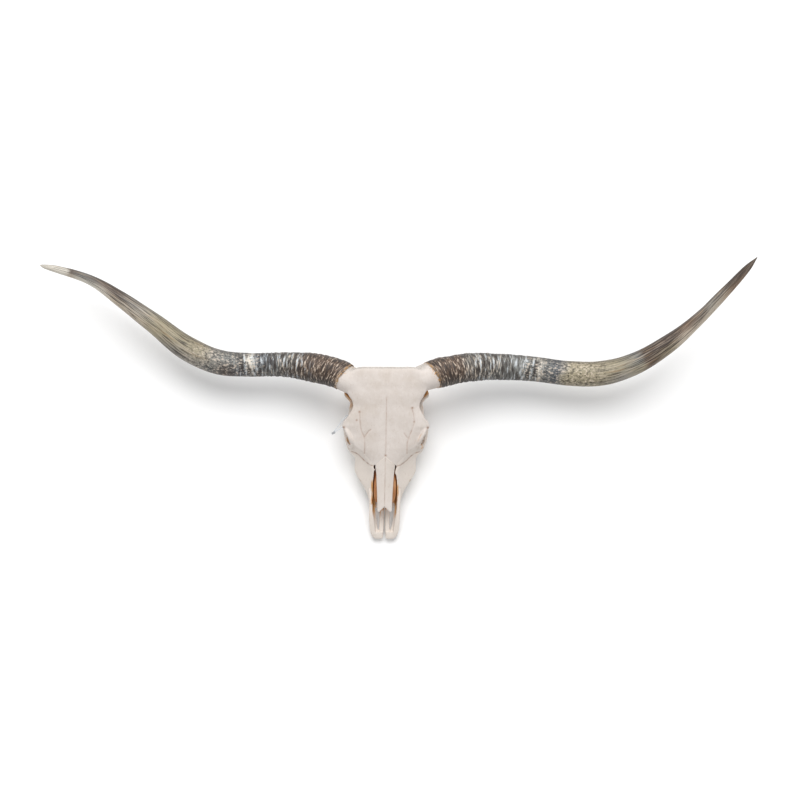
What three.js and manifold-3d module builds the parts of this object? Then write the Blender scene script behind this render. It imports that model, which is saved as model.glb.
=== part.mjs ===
// Longhorn steer skull with its horn sheaths, lying on its cheek teeth and the two bony processes
// beside the neck joint. Millimetres, +Z up, +Y from the muzzle to the poll, +X to the steer's left.
import * as THREE from 'three';
import { LoftGeometry } from 'three/addons/geometries/LoftGeometry.js';
import { mergeVertices } from 'three/addons/utils/BufferGeometryUtils.js';
import Module from 'manifold-3d';

const wasm = await Module();
wasm.setup();
const { Manifold } = wasm;

// ---------------------------------------------------------------- driving sizes
const GAP = 0.3; // space left between neighbouring bones
const LEAN = 0.2; // the nape plane leans forward by this slope towards the floor
const PALATE_Z = 38; // top of the hard palate, floor of the nose
const MUZZLE_Y = -472.5; // tips of the premaxillae
const NECK_HOLE = { radius: 19, z: 79, depth: 62 }; // foramen magnum
const ORBIT = { y: -182, z: 107, long: 36, tall: 33, bar: 4.7 };
// X of the eye ring's middle and its half width, every 45 degrees from the rear over the top.
const ORBIT_RING = [[101, 6], [109, 7], [101, 7], [88.5, 7], [94, 5.5], [105.6, 3.4], [111.4, 3.2], [112, 4]];
const TOOTH_TOP = 36; // the teeth reach this high into the jaw
const HORN_SIDES = 12;
const HORN_STEPS = 25;

// Outline of the skull: for each Y, the height of the midline, then X and Z of the brow edge, the side
// wall, the lower edge and last the height of the underside.
const OUTLINE = [
  { y: -1, crest: 166, brow: [84, 164], side: [68, 124], low: [95, 80], under: 62 },
  { y: -8.5, crest: 176, brow: [89, 173], side: [70, 126], low: [103, 78], under: 57 },
  { y: -40, crest: 178, brow: [104, 166], side: [63, 126], low: [102, 76], under: 55 },
  { y: -62, crest: 175.5, brow: [110, 158], side: [59, 126], low: [97, 75], under: 54 },
  { y: -80, crest: 173, brow: [104, 156], side: [56, 126], low: [90, 74], under: 54 },
  { y: -96, crest: 169.8, brow: [94, 154], side: [55, 124], low: [75, 77], under: 54 },
  { y: -110, crest: 166.5, brow: [89.5, 152], side: [54, 122], low: [62, 80], under: 54 },
  { y: -140, crest: 160, brow: [104.5, 146], side: [57, 114], low: [47, 80], under: 58 },
  { y: -152, crest: 157, brow: [113.5, 141], side: [58, 110], low: [45, 74], under: 59 },
  { y: -163, crest: 154, brow: [117.5, 138], side: [60, 106], low: [44, 69], under: 60 },
  { y: -171, crest: 152, brow: [112.5, 136], side: [61, 105], low: [45, 66], under: 59 },
  { y: -184, crest: 148.6, brow: [106.5, 132.5], side: [64, 104], low: [48, 61], under: 56 },
  { y: -197, crest: 145.2, brow: [101, 130.5], side: [70, 103], low: [56, 58], under: 51 },
  { y: -208, crest: 142.4, brow: [95, 129], side: [80, 101], low: [66, 54], under: 46 },
  { y: -225, crest: 138, brow: [72, 128], side: [97, 98], low: [84, 48], under: 38 },
  { y: -250, crest: 130, brow: [52, 119], side: [80, 84], low: [77, 32], under: 31 },
  { y: -284, crest: 118.5, brow: [35, 108], side: [81, 64], low: [72, 26], under: 30 },
  { y: -305, crest: 111.5, brow: [34, 98], side: [72, 59], low: [66, 25], under: 29 },
  { y: -335, crest: 102, brow: [33, 86], side: [53, 55], low: [49, 25], under: 27 },
  { y: -366, crest: 90, brow: [33, 66], side: [41, 42], low: [36, 24], under: 23 },
  { y: -386, crest: 70, brow: [32, 48], side: [38, 34], low: [33, 22], under: 20 },
];

// ---------------------------------------------------------------- solids
function solidOf(geometry) {
  const bare = new THREE.BufferGeometry();
  const flat = geometry.index ? geometry.toNonIndexed() : geometry;
  bare.setAttribute('position', flat.getAttribute('position'));
  const merged = mergeVertices(bare, 1e-3);
  return new Manifold(new wasm.Mesh({
    numProp: 3,
    vertProperties: merged.attributes.position.array,
    triVerts: new Uint32Array(merged.index.array),
  }));
}

function geometryOf(solid) {
  const mesh = solid.getMesh();
  const geometry = new THREE.BufferGeometry();
  const step = mesh.numProp;
  const xyz = new Float32Array((mesh.vertProperties.length / step) * 3);
  for (let i = 0; i < xyz.length / 3; i++) {
    for (let k = 0; k < 3; k++) xyz[3 * i + k] = mesh.vertProperties[step * i + k];
  }
  geometry.setAttribute('position', new THREE.BufferAttribute(xyz, 3));
  geometry.setIndex(Array.from(mesh.triVerts));
  geometry.computeVertexNormals();
  return geometry;
}

function largest(solid) {
  let best = null;
  for (const piece of solid.decompose()) {
    if (!best || piece.volume() > best.volume()) best = piece;
  }
  return best;
}

function union(list) {
  return list.reduce((sum, solid) => sum.add(solid));
}

function mirrored(solid) {
  return solid.mirror([1, 0, 0]);
}

function both(solid) {
  return solid.add(mirrored(solid));
}

function box(x0, x1, y0, y1, z0, z1) {
  const geometry = new THREE.BoxGeometry(x1 - x0, y1 - y0, z1 - z0);
  geometry.translate((x0 + x1) / 2, (y0 + y1) / 2, (z0 + z1) / 2);
  return solidOf(geometry);
}

function ball(x, y, z, rx, ry, rz, around = 9, down = 6) {
  const geometry = new THREE.SphereGeometry(1, around, down);
  geometry.scale(rx, ry, rz);
  geometry.translate(x, y, z);
  return solidOf(geometry);
}

// A loft through rings of points, which must all go round the same way. They are turned round when
// they don't go counterclockwise seen from the loft's end.
function loft(rings) {
  const [first, second] = rings;
  const normal = new THREE.Vector3();
  const step = new THREE.Vector3();
  first.forEach((p, i) => {
    const q = first[(i + 1) % first.length];
    normal.add(p.clone().sub(first[0]).cross(q.clone().sub(first[0])));
    step.add(second[i]).sub(p);
  });
  const ordered = normal.dot(step) > 0 ? rings : rings.map((ring) => ring.slice().reverse());
  return solidOf(new LoftGeometry(ordered, { capStart: true, capEnd: true }));
}

// Closes the two open ends of a tube with fans of triangles.
function capped(tube) {
  const { tubularSegments: steps, radialSegments: sides } = tube.parameters;
  const index = Array.from(tube.index.array);
  for (let j = 1; j < sides - 1; j++) {
    const end = steps * (sides + 1);
    index.push(0, j, j + 1, end, end + j + 1, end + j);
  }
  tube.setIndex(index);
  return tube;
}

// A bar with oval sections along a smooth line; radii run [side, up] from end to end.
function bar(points, radii, steps = 9, sides = 6) {
  const curve = new THREE.CatmullRomCurve3(points.map((p) => new THREE.Vector3(...p)));
  const rings = [];
  for (let i = 0; i <= steps; i++) {
    const t = i / steps;
    const at = curve.getPoint(t);
    const along = curve.getTangent(t);
    const across = new THREE.Vector3(0, 0, 1).cross(along).normalize();
    const up = along.clone().cross(across);
    const f = t * (radii.length - 1);
    const k = Math.min(radii.length - 2, Math.floor(f));
    const rs = radii[k][0] + (radii[k + 1][0] - radii[k][0]) * (f - k);
    const ru = radii[k][1] + (radii[k + 1][1] - radii[k][1]) * (f - k);
    const ring = [];
    for (let j = 0; j < sides; j++) {
      const a = (j / sides) * 2 * Math.PI;
      ring.push(at.clone().addScaledVector(across, rs * Math.cos(a)).addScaledVector(up, ru * Math.sin(a)));
    }
    rings.push(ring);
  }
  return loft(rings);
}

// An upright post: each level is X, Y, Z of its middle and its half sizes along X and Y.
function column(levels, sides = 6) {
  return loft(levels.map(([x, y, z, rx, ry]) => {
    const ring = [];
    for (let j = 0; j < sides; j++) {
      const a = ((j + 0.5) / sides) * 2 * Math.PI;
      ring.push(new THREE.Vector3(x + rx * Math.cos(a), y + ry * Math.sin(a), z));
    }
    return ring;
  }));
}

// A prism over an outline in plan.
function prism(outline, z0, z1) {
  const shape = new THREE.Shape(outline.map(([x, y]) => new THREE.Vector2(x, y)));
  const geometry = new THREE.ExtrudeGeometry(shape, { depth: z1 - z0, bevelEnabled: false, curveSegments: 1 });
  geometry.translate(0, 0, z0);
  return solidOf(geometry);
}

// ---------------------------------------------------------------- the skull as one body
function outlineAt(y) {
  const keys = OUTLINE.map((s) => -s.y);
  const values = OUTLINE.flatMap((s) => [s.crest, ...s.brow, ...s.side, ...s.low, s.under]);
  const spline = new THREE.CubicInterpolant(keys, values, 8, new Float32Array(8));
  const v = spline.evaluate(-y);
  return { crest: v[0], brow: [v[1], v[2]], side: [v[3], v[4]], low: [v[5], v[6]], under: v[7] };
}

function leanOf(y, z) {
  const share = THREE.MathUtils.clamp((y + 110) / 70, 0, 1);
  return -LEAN * share * (175 - z);
}

function cheekBulge(y) {
  return 5 * Math.exp(-(((y + 262) / 26) ** 2));
}

function skullRing(y) {
  const s = outlineAt(y);
  const [bx, bz] = s.brow;
  const drop = s.crest - bz;
  const half = [
    [0.35 * bx, s.crest - 0.08 * drop],
    [0.68 * bx, s.crest - 0.32 * drop],
    [0.9 * bx, s.crest - 0.68 * drop],
    [bx, bz],
    [0.62 * bx + 0.38 * s.side[0], 0.5 * bz + 0.5 * s.side[1]],
    s.side,
    [0.5 * (s.side[0] + s.low[0]) + cheekBulge(y), 0.5 * (s.side[1] + s.low[1])],
    s.low,
    [0.8 * s.low[0], 0.25 * s.low[1] + 0.75 * s.under],
  ];
  const ring = [[0, s.crest], ...half, [0, s.under]];
  for (const [x, z] of half.slice().reverse()) ring.push([-x, z]);
  return ring.map(([x, z]) => new THREE.Vector3(x, y + leanOf(y, z), z));
}

function skullBody() {
  const stops = [-1, -8.5, -42, -61, -80, -96, -112, -138, -152, -163, -171, -184, -197, -208, -216];
  stops.push(-225, -238, -260, -284, -305, -335, -366, -386);
  return loft(stops.map(skullRing));
}

function orbitRing() {
  const rings = [];
  const steps = 2 * ORBIT_RING.length;
  for (let i = 0; i < steps; i++) {
    const a = (i / steps) * 2 * Math.PI;
    const [c, d] = [Math.cos(a), Math.sin(a)];
    const [low, high] = [ORBIT_RING[Math.floor(i / 2)], ORBIT_RING[Math.ceil(i / 2) % ORBIT_RING.length]];
    const [x, wide] = [(low[0] + high[0]) / 2, (low[1] + high[1]) / 2];
    const centre = new THREE.Vector3(x, ORBIT.y + ORBIT.long * c, ORBIT.z + ORBIT.tall * d);
    const ring = [];
    for (let j = 0; j < 5; j++) {
      const b = (j / 5) * 2 * Math.PI;
      const out = new THREE.Vector3(0.1, c, d).multiplyScalar(ORBIT.bar * Math.cos(b));
      ring.push(centre.clone().add(out).add(new THREE.Vector3(wide * Math.sin(b), 0, 0)));
    }
    rings.push(ring);
  }
  return loft(rings.slice(0, 9)).add(loft(rings.slice(8).concat([rings[0]])));
}

// Each: X, Y, Z of the middle, half length and half height of the eye socket there.
const SOCKET = [[130, -182, 107, 35, 32], [98, -182, 107, 31, 28], [66, -176, 102, 22, 21], [40, -166, 96, 7, 7]];

function orbitSocket() {
  return loft(SOCKET.map(([x, y, z, ry, rz]) => {
    const ring = [];
    for (let j = 0; j < 12; j++) {
      const a = (j / 12) * 2 * Math.PI;
      ring.push(new THREE.Vector3(x, y + ry * Math.cos(a), z + rz * Math.sin(a)));
    }
    return ring;
  }));
}

const ARCH_LINE = [
  [82, -235, 82], [96, -221, 78], [103, -205, 74], [108, -188, 71], [106, -160, 76], [97.5, -135, 82],
    [93, -115, 84],
  [93, -97, 85], [101, -86, 86], [107, -77, 85], [92, -62, 83],
];
const ARCH_RADII = [[9, 14], [7, 12], [5.5, 9], [4.5, 8], [5, 8], [6.5, 8], [7, 8], [7, 8], [6.5, 8], [7, 8],
  [9, 9]];

function sidePieces() {
  const arch = bar(ARCH_LINE, ARCH_RADII, 10);
  const post = bar([[104, -149, 130], [102, -147, 105], [99, -146, 82]], [[7, 6], [6, 5], [5, 7]], 3);
  const jawJoint = ball(76, -94, 73, 23, 20, 13);
  const earTube = bar([[60, -66, 84], [84, -62, 78], [99, -58, 76]], [[12, 14], [10, 11], [8.5, 8.5]], 3, 8);
  const bulla = column([[45, -82, 66, 14, 20], [44, -82, 46, 13, 19], [43, -84, 28, 9, 12], [43, -86, 20, 4, 5]]);
  const process = column([[66, -46, 84, 16, 15], [62, -46, 52, 12, 13], [57, -47, 18, 7, 10], [55, -48, -6, 5, 8]]);
  const condyle = ball(28, -22, 67, 17, 20, 20);
  const plate = column([[22, -168, 62, 3, 24], [24, -172, 44, 3, 24], [26, -180, 27, 3, 12]]);
  return union([arch, post, jawJoint, earTube, bulla, process, condyle, plate, orbitRing()]);
}

function cheekTeeth() {
  // Each: middle X, middle Y, width, length.
  const row = [[60, -217, 24, 29], [61, -246, 25, 27], [58, -272.5, 23, 24], [54, -293, 20, 16],
    [49, -310, 18, 16], [43, -326, 15, 14]];
  const list = row.map(([x, y, w, l], i) => {
    const turn = THREE.MathUtils.degToRad(i < 3 ? 3 : -14);
    const rings = [[0, 0.9], [TOOTH_TOP, 1.02]].map(([z, k]) => {
      const corners = [[-0.5, -0.36], [-0.36, -0.5], [0.36, -0.5], [0.5, -0.36], [0.5, 0.36], [0.36, 0.5],
        [-0.36, 0.5], [-0.5, 0.36]];
      return corners.map(([u, v]) => {
        const px = u * w * k;
        const py = v * l * k;
        return new THREE.Vector3(x + px * Math.cos(turn) - py * Math.sin(turn),
          y + px * Math.sin(turn) + py * Math.cos(turn), z);
      });
    });
    return loft(rings);
  });
  return union(list);
}

// ---------------------------------------------------------------- nasals and premaxillae
function nasalHalf(grow) {
  // Each: Y, outer X, top Z at the midline, top Z at the outer edge.
  const stations = [
    [-243, 2.5, 132, 132], [-256, 15, 128, 127], [-268, 26, 124, 120.5], [-281, 25.3, 119.5, 114],
      [-293, 23.6, 115.5, 109.5],
    [-308, 23, 110.5, 105], [-335, 21.5, 102, 97], [-366, 20.3, 93, 88.5], [-384, 19.5, 87, 83],
      [-391, 18, 85, 82], [-395, 14, 84, 82.5],
  ];
  const thick = 5;
  const rings = stations.map(([y, x, mid, edge], i) => {
    const inner = i > 8 ? 6 + (i - 9) * 5 : GAP / 2;
    const dy = i === 0 ? grow : i === stations.length - 1 ? -grow : 0;
    const a = inner - (grow ? GAP : 0);
    const b = x + grow;
    const zAt = (u) => mid + (edge - mid) * (u / x) * (u / x) + grow;
    const ring = [];
    for (const f of [0, 0.33, 0.66, 1]) ring.push([a + (b - a) * f, zAt(Math.min(x, a + (b - a) * f))]);
    for (const f of [1, 0.66, 0.33, 0]) ring.push([a + (b - a) * f, zAt(Math.min(x,
      a + (b - a) * f)) - thick - 2 * grow]);
    return ring.map(([px, pz]) => new THREE.Vector3(px, y + dy, pz));
  });
  return loft(rings);
}

function slab(stations, grow) {
  // Each: Y, inner X, outer X, bottom Z, top Z; corners slightly rounded.
  const rings = stations.map(([y, x0, x1, z0, z1], i) => {
    const c = Math.min(x1 - x0, z1 - z0) * 0.25;
    const dy = i === 0 ? grow : i === stations.length - 1 ? -grow : 0;
    const [a, b, lo, hi] = [x0 - grow, x1 + grow, z0 - grow, z1 + grow];
    const ring = [[a + c, lo], [b - c, lo], [b, lo + c], [b, hi - c], [b - c, hi], [a + c, hi], [a, hi - c],
      [a, lo + c]];
    return ring.map(([x, z]) => new THREE.Vector3(x, y + dy, z));
  });
  return loft(rings);
}

function premaxillaHalf(grow) {
  const wing = slab([
    [-330, 35, 43.5, 71, 79], [-346, 33.5, 43, 57, 74], [-366, 32.5, 42.5, 44, 67.5], [-381, 32, 42.4, 36, 62],
      [-400, 30.5, 42.5, 28, 55],
    [-427, 26, 41.6, 19, 43], [-446, 24, 40, 13, 32], [-460, 20, 36.5, 10, 25],
  ], grow);
  const tip = slab([[-453, 3.2, 38.5, 12, 27], [-463, 3.2, 35, 9.5, 23], [-469.5, 3.8, 29, 9.5, 19],
    [MUZZLE_Y, 7, 23, 10.5, 16]], grow);
  const inner = slab([[-362, 2, 9, 24, 31], [-394, 1.8, 11.2, 20, 28], [-446, 2, 12, 14, 24],
    [-460, 3.4, 14, 12, 22]], grow);
  return union([wing, tip, inner]);
}

// ---------------------------------------------------------------- horns
// Each: X, Y, Z of the middle line, then the radius. The first three or four lie inside the skull.
const LEFT_HORN = [
  [62, -48, 138, 34], [98, -32, 138, 38.5], [142, -16.5, 136, 40], [170, -9.5, 129, 39.2], [229, 1, 112, 38],
    [316, 3, 98, 35],
  [403, -2, 92, 33.5], [490, -11, 91, 33.5],
  [576, -10, 96, 33.5], [660, 14, 108, 30], [743, 63, 129, 25.5], [825, 133, 156, 17.5], [904, 219, 186, 13.5],
    [950, 272, 204, 9.5], [976, 303, 214, 1.2],
];
const RIGHT_HORN = [
  [-50, -53, 138, 34], [-84, -44, 138, 38], [-111, -33, 137, 40], [-134, -22.5, 133, 39.6],
    [-196, -8.5, 113, 39], [-284, -1, 98, 33],
  [-371, -3, 91, 32], [-457, 3, 89, 33.5],
  [-544, 40, 94, 33], [-631, 104, 103, 27], [-717, 165, 114, 21], [-802, 217, 124, 13.5], [-888, 243, 131, 9.8],
    [-922, 250, 134, 6], [-936, 254, 135, 1.2],
];
// A point on the plane where a sheath ends on its bony peg, and the plane's direction to the tip.
const LEFT_RIM = { point: [132.3, -15.2, 176], normal: [0.81, 0.48, -0.33] };
const RIGHT_RIM = { point: [-128, -33, 176], normal: [-0.8, 0.54, -0.26] };

function hornTube(line, shrink = 0, steps = HORN_STEPS) {
  const curve = new THREE.CatmullRomCurve3(line.map(([x, y, z]) => new THREE.Vector3(x, y, z)));
  const spline = new THREE.CubicInterpolant(line.map((p, i) => i), line.map((p) => p[3]), 1, new Float32Array(1));
  const rings = [];
  for (let i = 0; i <= steps; i++) {
    const t = i / steps;
    const at = curve.getPoint(t);
    const along = curve.getTangent(t);
    const across = new THREE.Vector3(0, 0, 1).cross(along).normalize();
    const up = along.clone().cross(across);
    const radius = spline.evaluate(t * (line.length - 1))[0] - shrink;
    const ring = [];
    for (let j = 0; j < HORN_SIDES; j++) {
      const a = ((j + 0.5) / HORN_SIDES) * 2 * Math.PI;
      const p = at.clone().addScaledVector(across, radius * Math.cos(a));
      ring.push(p.addScaledVector(up, radius * 0.97 * Math.sin(a)));
    }
    rings.push(ring);
  }
  return loft(rings);
}

function hornParts(line, rim) {
  const normal = new THREE.Vector3(...rim.normal).normalize();
  const offset = normal.dot(new THREE.Vector3(...rim.point));
  const [sheath] = hornTube(line).splitByPlane(normal.toArray(), offset + GAP);
  const [, peg] = hornTube(line.slice(0, 5), 1.2, 9).splitByPlane(normal.toArray(), offset);
  return { sheath, peg };
}

// ---------------------------------------------------------------- openings
const CAVITY_PLAN = [[0, -242], [15.6, -255.6], [27.5, -267], [29, -281], [29.6, -293], [32, -311],
  [32.5, -366], [32, -400]];

function nasalCavity() {
  const outline = CAVITY_PLAN.concat(CAVITY_PLAN.slice(1).reverse().map(([x, y]) => [-x, y]));
  return prism(outline, PALATE_Z, 240);
}

function neckHole() {
  const geometry = new THREE.CylinderGeometry(NECK_HOLE.radius, NECK_HOLE.radius * 0.8, NECK_HOLE.depth + 60, 16);
  geometry.translate(0, 60 - (NECK_HOLE.depth + 60) / 2 - 20, 0);
  const solid = solidOf(geometry);
  return solid.translate([0, 0, NECK_HOLE.z]);
}

function underCuts() {
  // Hollows on either side of the bar that carries the neck joint, and the rear nostrils.
  const basin = ball(26, -126, 42, 22, 34, 22, 8, 6);
  const nostril = column([[11, -176, 40, 9, 42], [11, -186, 70, 7, 26]]);
  return both(basin).add(both(nostril));
}

// ---------------------------------------------------------------- the tag tie
// A moulded nylon loop round the bar behind the right orbit, and the barb that closes it. The line
// goes from the barb round the bar and back; each point is X, Y, Z.
const TIE_LINE = [
  [-139, -182, 80], [-124, -171, 92], [-107, -162, 99], [-92, -156, 103], [-84, -146, 104], [-90, -136, 104],
  [-104, -135, 102], [-117, -147, 98], [-129, -165, 90], [-141, -180, 80],
];
const TIE_RADIUS = 0.9;
const TIE_BARB = { length: 10, wide: 6, high: 4, at: [-142, -183.6, 78.4] };

function tagTie() {
  const curve = new THREE.CatmullRomCurve3(TIE_LINE.map((p) => new THREE.Vector3(...p)));
  const loop = solidOf(capped(new THREE.TubeGeometry(curve, 14, TIE_RADIUS, 4, false)));
  const barb = new THREE.BoxGeometry(TIE_BARB.length, TIE_BARB.wide, TIE_BARB.high);
  barb.rotateY(-0.48);
  barb.rotateZ(0.5);
  barb.translate(...TIE_BARB.at);
  return loop.add(solidOf(barb));
}

// ---------------------------------------------------------------- whole, then parted into bones
const left = hornParts(LEFT_HORN, LEFT_RIM);
const right = hornParts(RIGHT_HORN, RIGHT_RIM);
const teeth = cheekTeeth();
const nasalLeft = nasalHalf(0);
const premaxillaLeft = premaxillaHalf(0);

let whole = skullBody().add(both(sidePieces()));
whole = whole.add(left.peg).add(right.peg);
whole = whole.subtract(both(orbitSocket())).subtract(nasalCavity()).subtract(neckHole()).subtract(underCuts());
whole = whole.subtract(both(premaxillaHalf(GAP))).subtract(both(nasalHalf(GAP)));
whole = whole.add(both(teeth));
whole = whole.subtract(box(-400, 400, -500, 60, -60, 0));

const FRONTAL_PLAN = [[GAP / 2, 30], [260, 30], [260, -196], [112, -196], [72, -222], [27, -268], [GAP / 2, -242]];

// The same outline with every edge moved out, for the clearance beside a bone.
function grownPlan(plan, by) {
  const points = plan.map(([x, y]) => new THREE.Vector2(x, y));
  const out = THREE.ShapeUtils.isClockWise(points) ? -by : by;
  return points.map((p, i) => {
    const before = p.clone().sub(points[(i + points.length - 1) % points.length]).normalize();
    const after = points[(i + 1) % points.length].clone().sub(p).normalize();
    const normal = new THREE.Vector2(before.y + after.y, -before.x - after.x).normalize();
    const reach = out / normal.dot(new THREE.Vector2(after.y, -after.x));
    return [p.x + normal.x * reach, p.y + normal.y * reach];
  });
}

function frontalRegion(grow) {
  const plan = grow ? grownPlan(FRONTAL_PLAN, grow) : FRONTAL_PLAN;
  const sheet = prism(plan, 60, 260);
  const under = new THREE.BoxGeometry(700, 700, 200);
  under.rotateX(Math.atan(0.18));
  under.translate(0, 0, 144 - 101.6 - grow);
  const peg = box(84 - grow, 260, -75 - grow, 60, 84 - grow, 220);
  return sheet.subtract(solidOf(under)).add(peg);
}

const CHEEK_PLAN = [
  [24, -276], [31, -271], [40, -267.5], [48, -262.5], [58, -254.5], [69, -243], [80, -235], [92, -231],
    [140, -231], [140, -119],
  [71, -119], [71, -214], [52, -230], [24, -252],
];

function cheekRegion(grow) {
  return prism(grow ? grownPlan(CHEEK_PLAN, grow) : CHEEK_PLAN, 60 - grow, 160);
}

function maxillaRegion(grow) {
  return box(GAP / 2 - grow, 160, -420, -199 + grow, -10, 160);
}

function part(solid, region) {
  return [largest(solid.intersect(region(0))), solid.subtract(region(GAP))];
}

let rest = whole;
const bones = {};
function take(name, region) {
  const [leftBone, afterLeft] = part(rest, region);
  const [rightBone, afterRight] = part(afterLeft, (grow) => mirrored(region(grow)));
  bones[`${name}_left`] = leftBone;
  bones[`${name}_right`] = rightBone;
  rest = afterRight;
}
take('frontal', frontalRegion);
take('cheek', cheekRegion);
take('maxilla', maxillaRegion);
bones.braincase = largest(rest);
bones.nasal_left = nasalLeft;
bones.nasal_right = mirrored(nasalLeft);
bones.premaxilla_left = premaxillaLeft;
bones.premaxilla_right = mirrored(premaxillaLeft);
bones.horn_left = left.sheath;
bones.horn_right = right.sheath;
bones.tag_tie = tagTie();

// ---------------------------------------------------------------- the group
const BONE = new THREE.MeshStandardMaterial({ color: 0xe0d5c8, roughness: 0.8, metalness: 0 });
const HORN = new THREE.MeshStandardMaterial({ color: 0x6f6656, roughness: 0.5, metalness: 0 });
const NYLON = new THREE.MeshStandardMaterial({ color: 0xdfe2e6, roughness: 0.3, metalness: 0 });
const finishOf = (name) => (name.startsWith('horn') ? HORN : name.startsWith('tag') ? NYLON : BONE);

const skull = new THREE.Group();
const bounds = new THREE.Box3();
for (const [name, solid] of Object.entries(bones)) {
  const geometry = geometryOf(solid);
  geometry.computeBoundingBox();
  bounds.union(geometry.boundingBox);
  const mesh = new THREE.Mesh(geometry, finishOf(name));
  mesh.name = name;
  skull.add(mesh);
}
const middle = bounds.getCenter(new THREE.Vector3());
for (const mesh of skull.children) mesh.geometry.translate(-middle.x, -middle.y, -bounds.min.z);

export default skull;
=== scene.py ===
"""Looks of a longhorn steer skull: bleached bones, worn horn sheaths and a clear tag tie.

Sizes are millimetres in the skull's own frame: +X to the steer's left, +Y to the poll, +Z up, and the
midline at X 0. ``settle`` turns each finished mesh to metres in the row frame.
"""

import logging
import math
from collections.abc import Callable, Iterable, Sequence
from dataclasses import dataclass
from enum import Enum
from typing import ClassVar

import bmesh
import bpy
import numpy as np
from mathutils import Matrix, Vector, noise
from mathutils.bvhtree import BVHTree

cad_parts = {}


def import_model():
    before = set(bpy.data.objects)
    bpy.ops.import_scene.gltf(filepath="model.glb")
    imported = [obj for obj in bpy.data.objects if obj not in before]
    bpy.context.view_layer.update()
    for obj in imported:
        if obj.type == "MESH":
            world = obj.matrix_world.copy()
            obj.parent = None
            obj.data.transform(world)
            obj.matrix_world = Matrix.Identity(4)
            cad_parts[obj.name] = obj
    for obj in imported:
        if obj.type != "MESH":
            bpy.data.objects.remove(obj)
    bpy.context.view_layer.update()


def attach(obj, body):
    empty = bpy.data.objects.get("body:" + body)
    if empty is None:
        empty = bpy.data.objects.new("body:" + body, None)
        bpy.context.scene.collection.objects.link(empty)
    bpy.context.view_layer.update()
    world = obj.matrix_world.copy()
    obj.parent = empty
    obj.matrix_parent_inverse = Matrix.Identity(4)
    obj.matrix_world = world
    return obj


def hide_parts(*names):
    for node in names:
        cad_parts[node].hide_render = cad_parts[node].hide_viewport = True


log = logging.getLogger("longhorn")

Object = bpy.types.Object
Surface = Callable[[np.ndarray, np.ndarray], np.ndarray]
Plan = Sequence[tuple[float, float]]

# The midline and the muzzle aren't in the middle of the row's box, so the skull frame is moved there.
TO_ROW = Matrix.Scale(0.001, 4) @ Matrix.Translation((-20.29, 84.35, 0.0))
GAP = 0.3  # clearance round the tooth roots
KNIT = 0.08  # clearance between bones that are knitted along a suture
FLATNESS = 0.97  # a horn's height for its width


class Side(Enum):
    """The steer's own left and right."""

    LEFT = 1
    RIGHT = -1

    @property
    def label(self) -> str:
        """The side's name in lower case, as the nodes spell it."""
        return self.name.lower()


# ---------------------------------------------------------------- curves and noise
def curve_through(keys: Sequence[float], values: Sequence, at: np.ndarray) -> np.ndarray:
    """Runs a smooth curve through rows of values.

    Args:
        keys: Rising places of the rows.
        values: One row of numbers for each key.
        at: Places to read.

    Returns:
        One row for each place in ``at``.
    """
    k = np.asarray(keys, float)
    v = np.asarray(values, float).reshape(len(k), -1)
    slope = np.empty_like(v)
    slope[1:-1] = (v[2:] - v[:-2]) / (k[2:] - k[:-2])[:, None]
    slope[0] = (v[1] - v[0]) / (k[1] - k[0])
    slope[-1] = (v[-1] - v[-2]) / (k[-1] - k[-2])
    at = np.clip(at, k[0], k[-1])
    i = np.clip(np.searchsorted(k, at, side="right") - 1, 0, len(k) - 2)
    span = (k[i + 1] - k[i])[:, None]
    s = (at - k[i])[:, None] / span
    rise = s * s * (3 - 2 * s)
    ease_in = s * (1 - s) ** 2
    ease_out = s * s * (s - 1)
    return (1 - rise) * v[i] + rise * v[i + 1] + span * (ease_in * slope[i] + ease_out * slope[i + 1])


def closed_curve(points: np.ndarray, at: np.ndarray) -> np.ndarray:
    """Runs a smooth closed curve through points.

    Args:
        points: Corner points, one a row.
        at: Places from 0 to 1 along the loop.

    Returns:
        One point for each place in ``at``.
    """
    count = len(points)
    keys = np.arange(-2, count + 3)
    return curve_through(keys, points[keys % count], (at % 1.0) * count)


def wavering(points: np.ndarray, size: float, seed: float = 0.0) -> np.ndarray:
    """Smooth noise.

    Args:
        points: Places in mm, one a row.
        size: Distance from one bump to the next in mm.
        seed: Moves the pattern.

    Returns:
        A number from about -1 to 1 for each place.
    """
    return np.array([noise.noise(p) for p in (points / size + seed).tolist()])


def ramp(value: np.ndarray, low: float, high: float) -> np.ndarray:
    """A smooth step from 0 at ``low`` to 1 at ``high``."""
    t = np.clip((value - low) / (high - low), 0.0, 1.0)
    return t * t * (3 - 2 * t)


def squared(wave: np.ndarray, power: float) -> np.ndarray:
    """A sine or cosine drawn towards -1 and 1, which makes an oval section boxy."""
    return np.sign(wave) * np.abs(wave) ** power


def away_from(points: np.ndarray, line: Plan) -> np.ndarray:
    """Distances in plan from points to a line of straight stretches.

    Args:
        points: Places, one a row.
        line: X and Y of the line's corners.

    Returns:
        The least distance in mm for each place.
    """
    best = np.full(len(points), np.inf)
    corners = np.asarray(line, float)
    for a, b in zip(corners[:-1], corners[1:]):
        along = b - a
        t = np.clip(((points[:, :2] - a) @ along) / (along @ along), 0.0, 1.0)
        best = np.minimum(best, np.linalg.norm(points[:, :2] - a - t[:, None] * along, axis=1))
    return best


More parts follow.
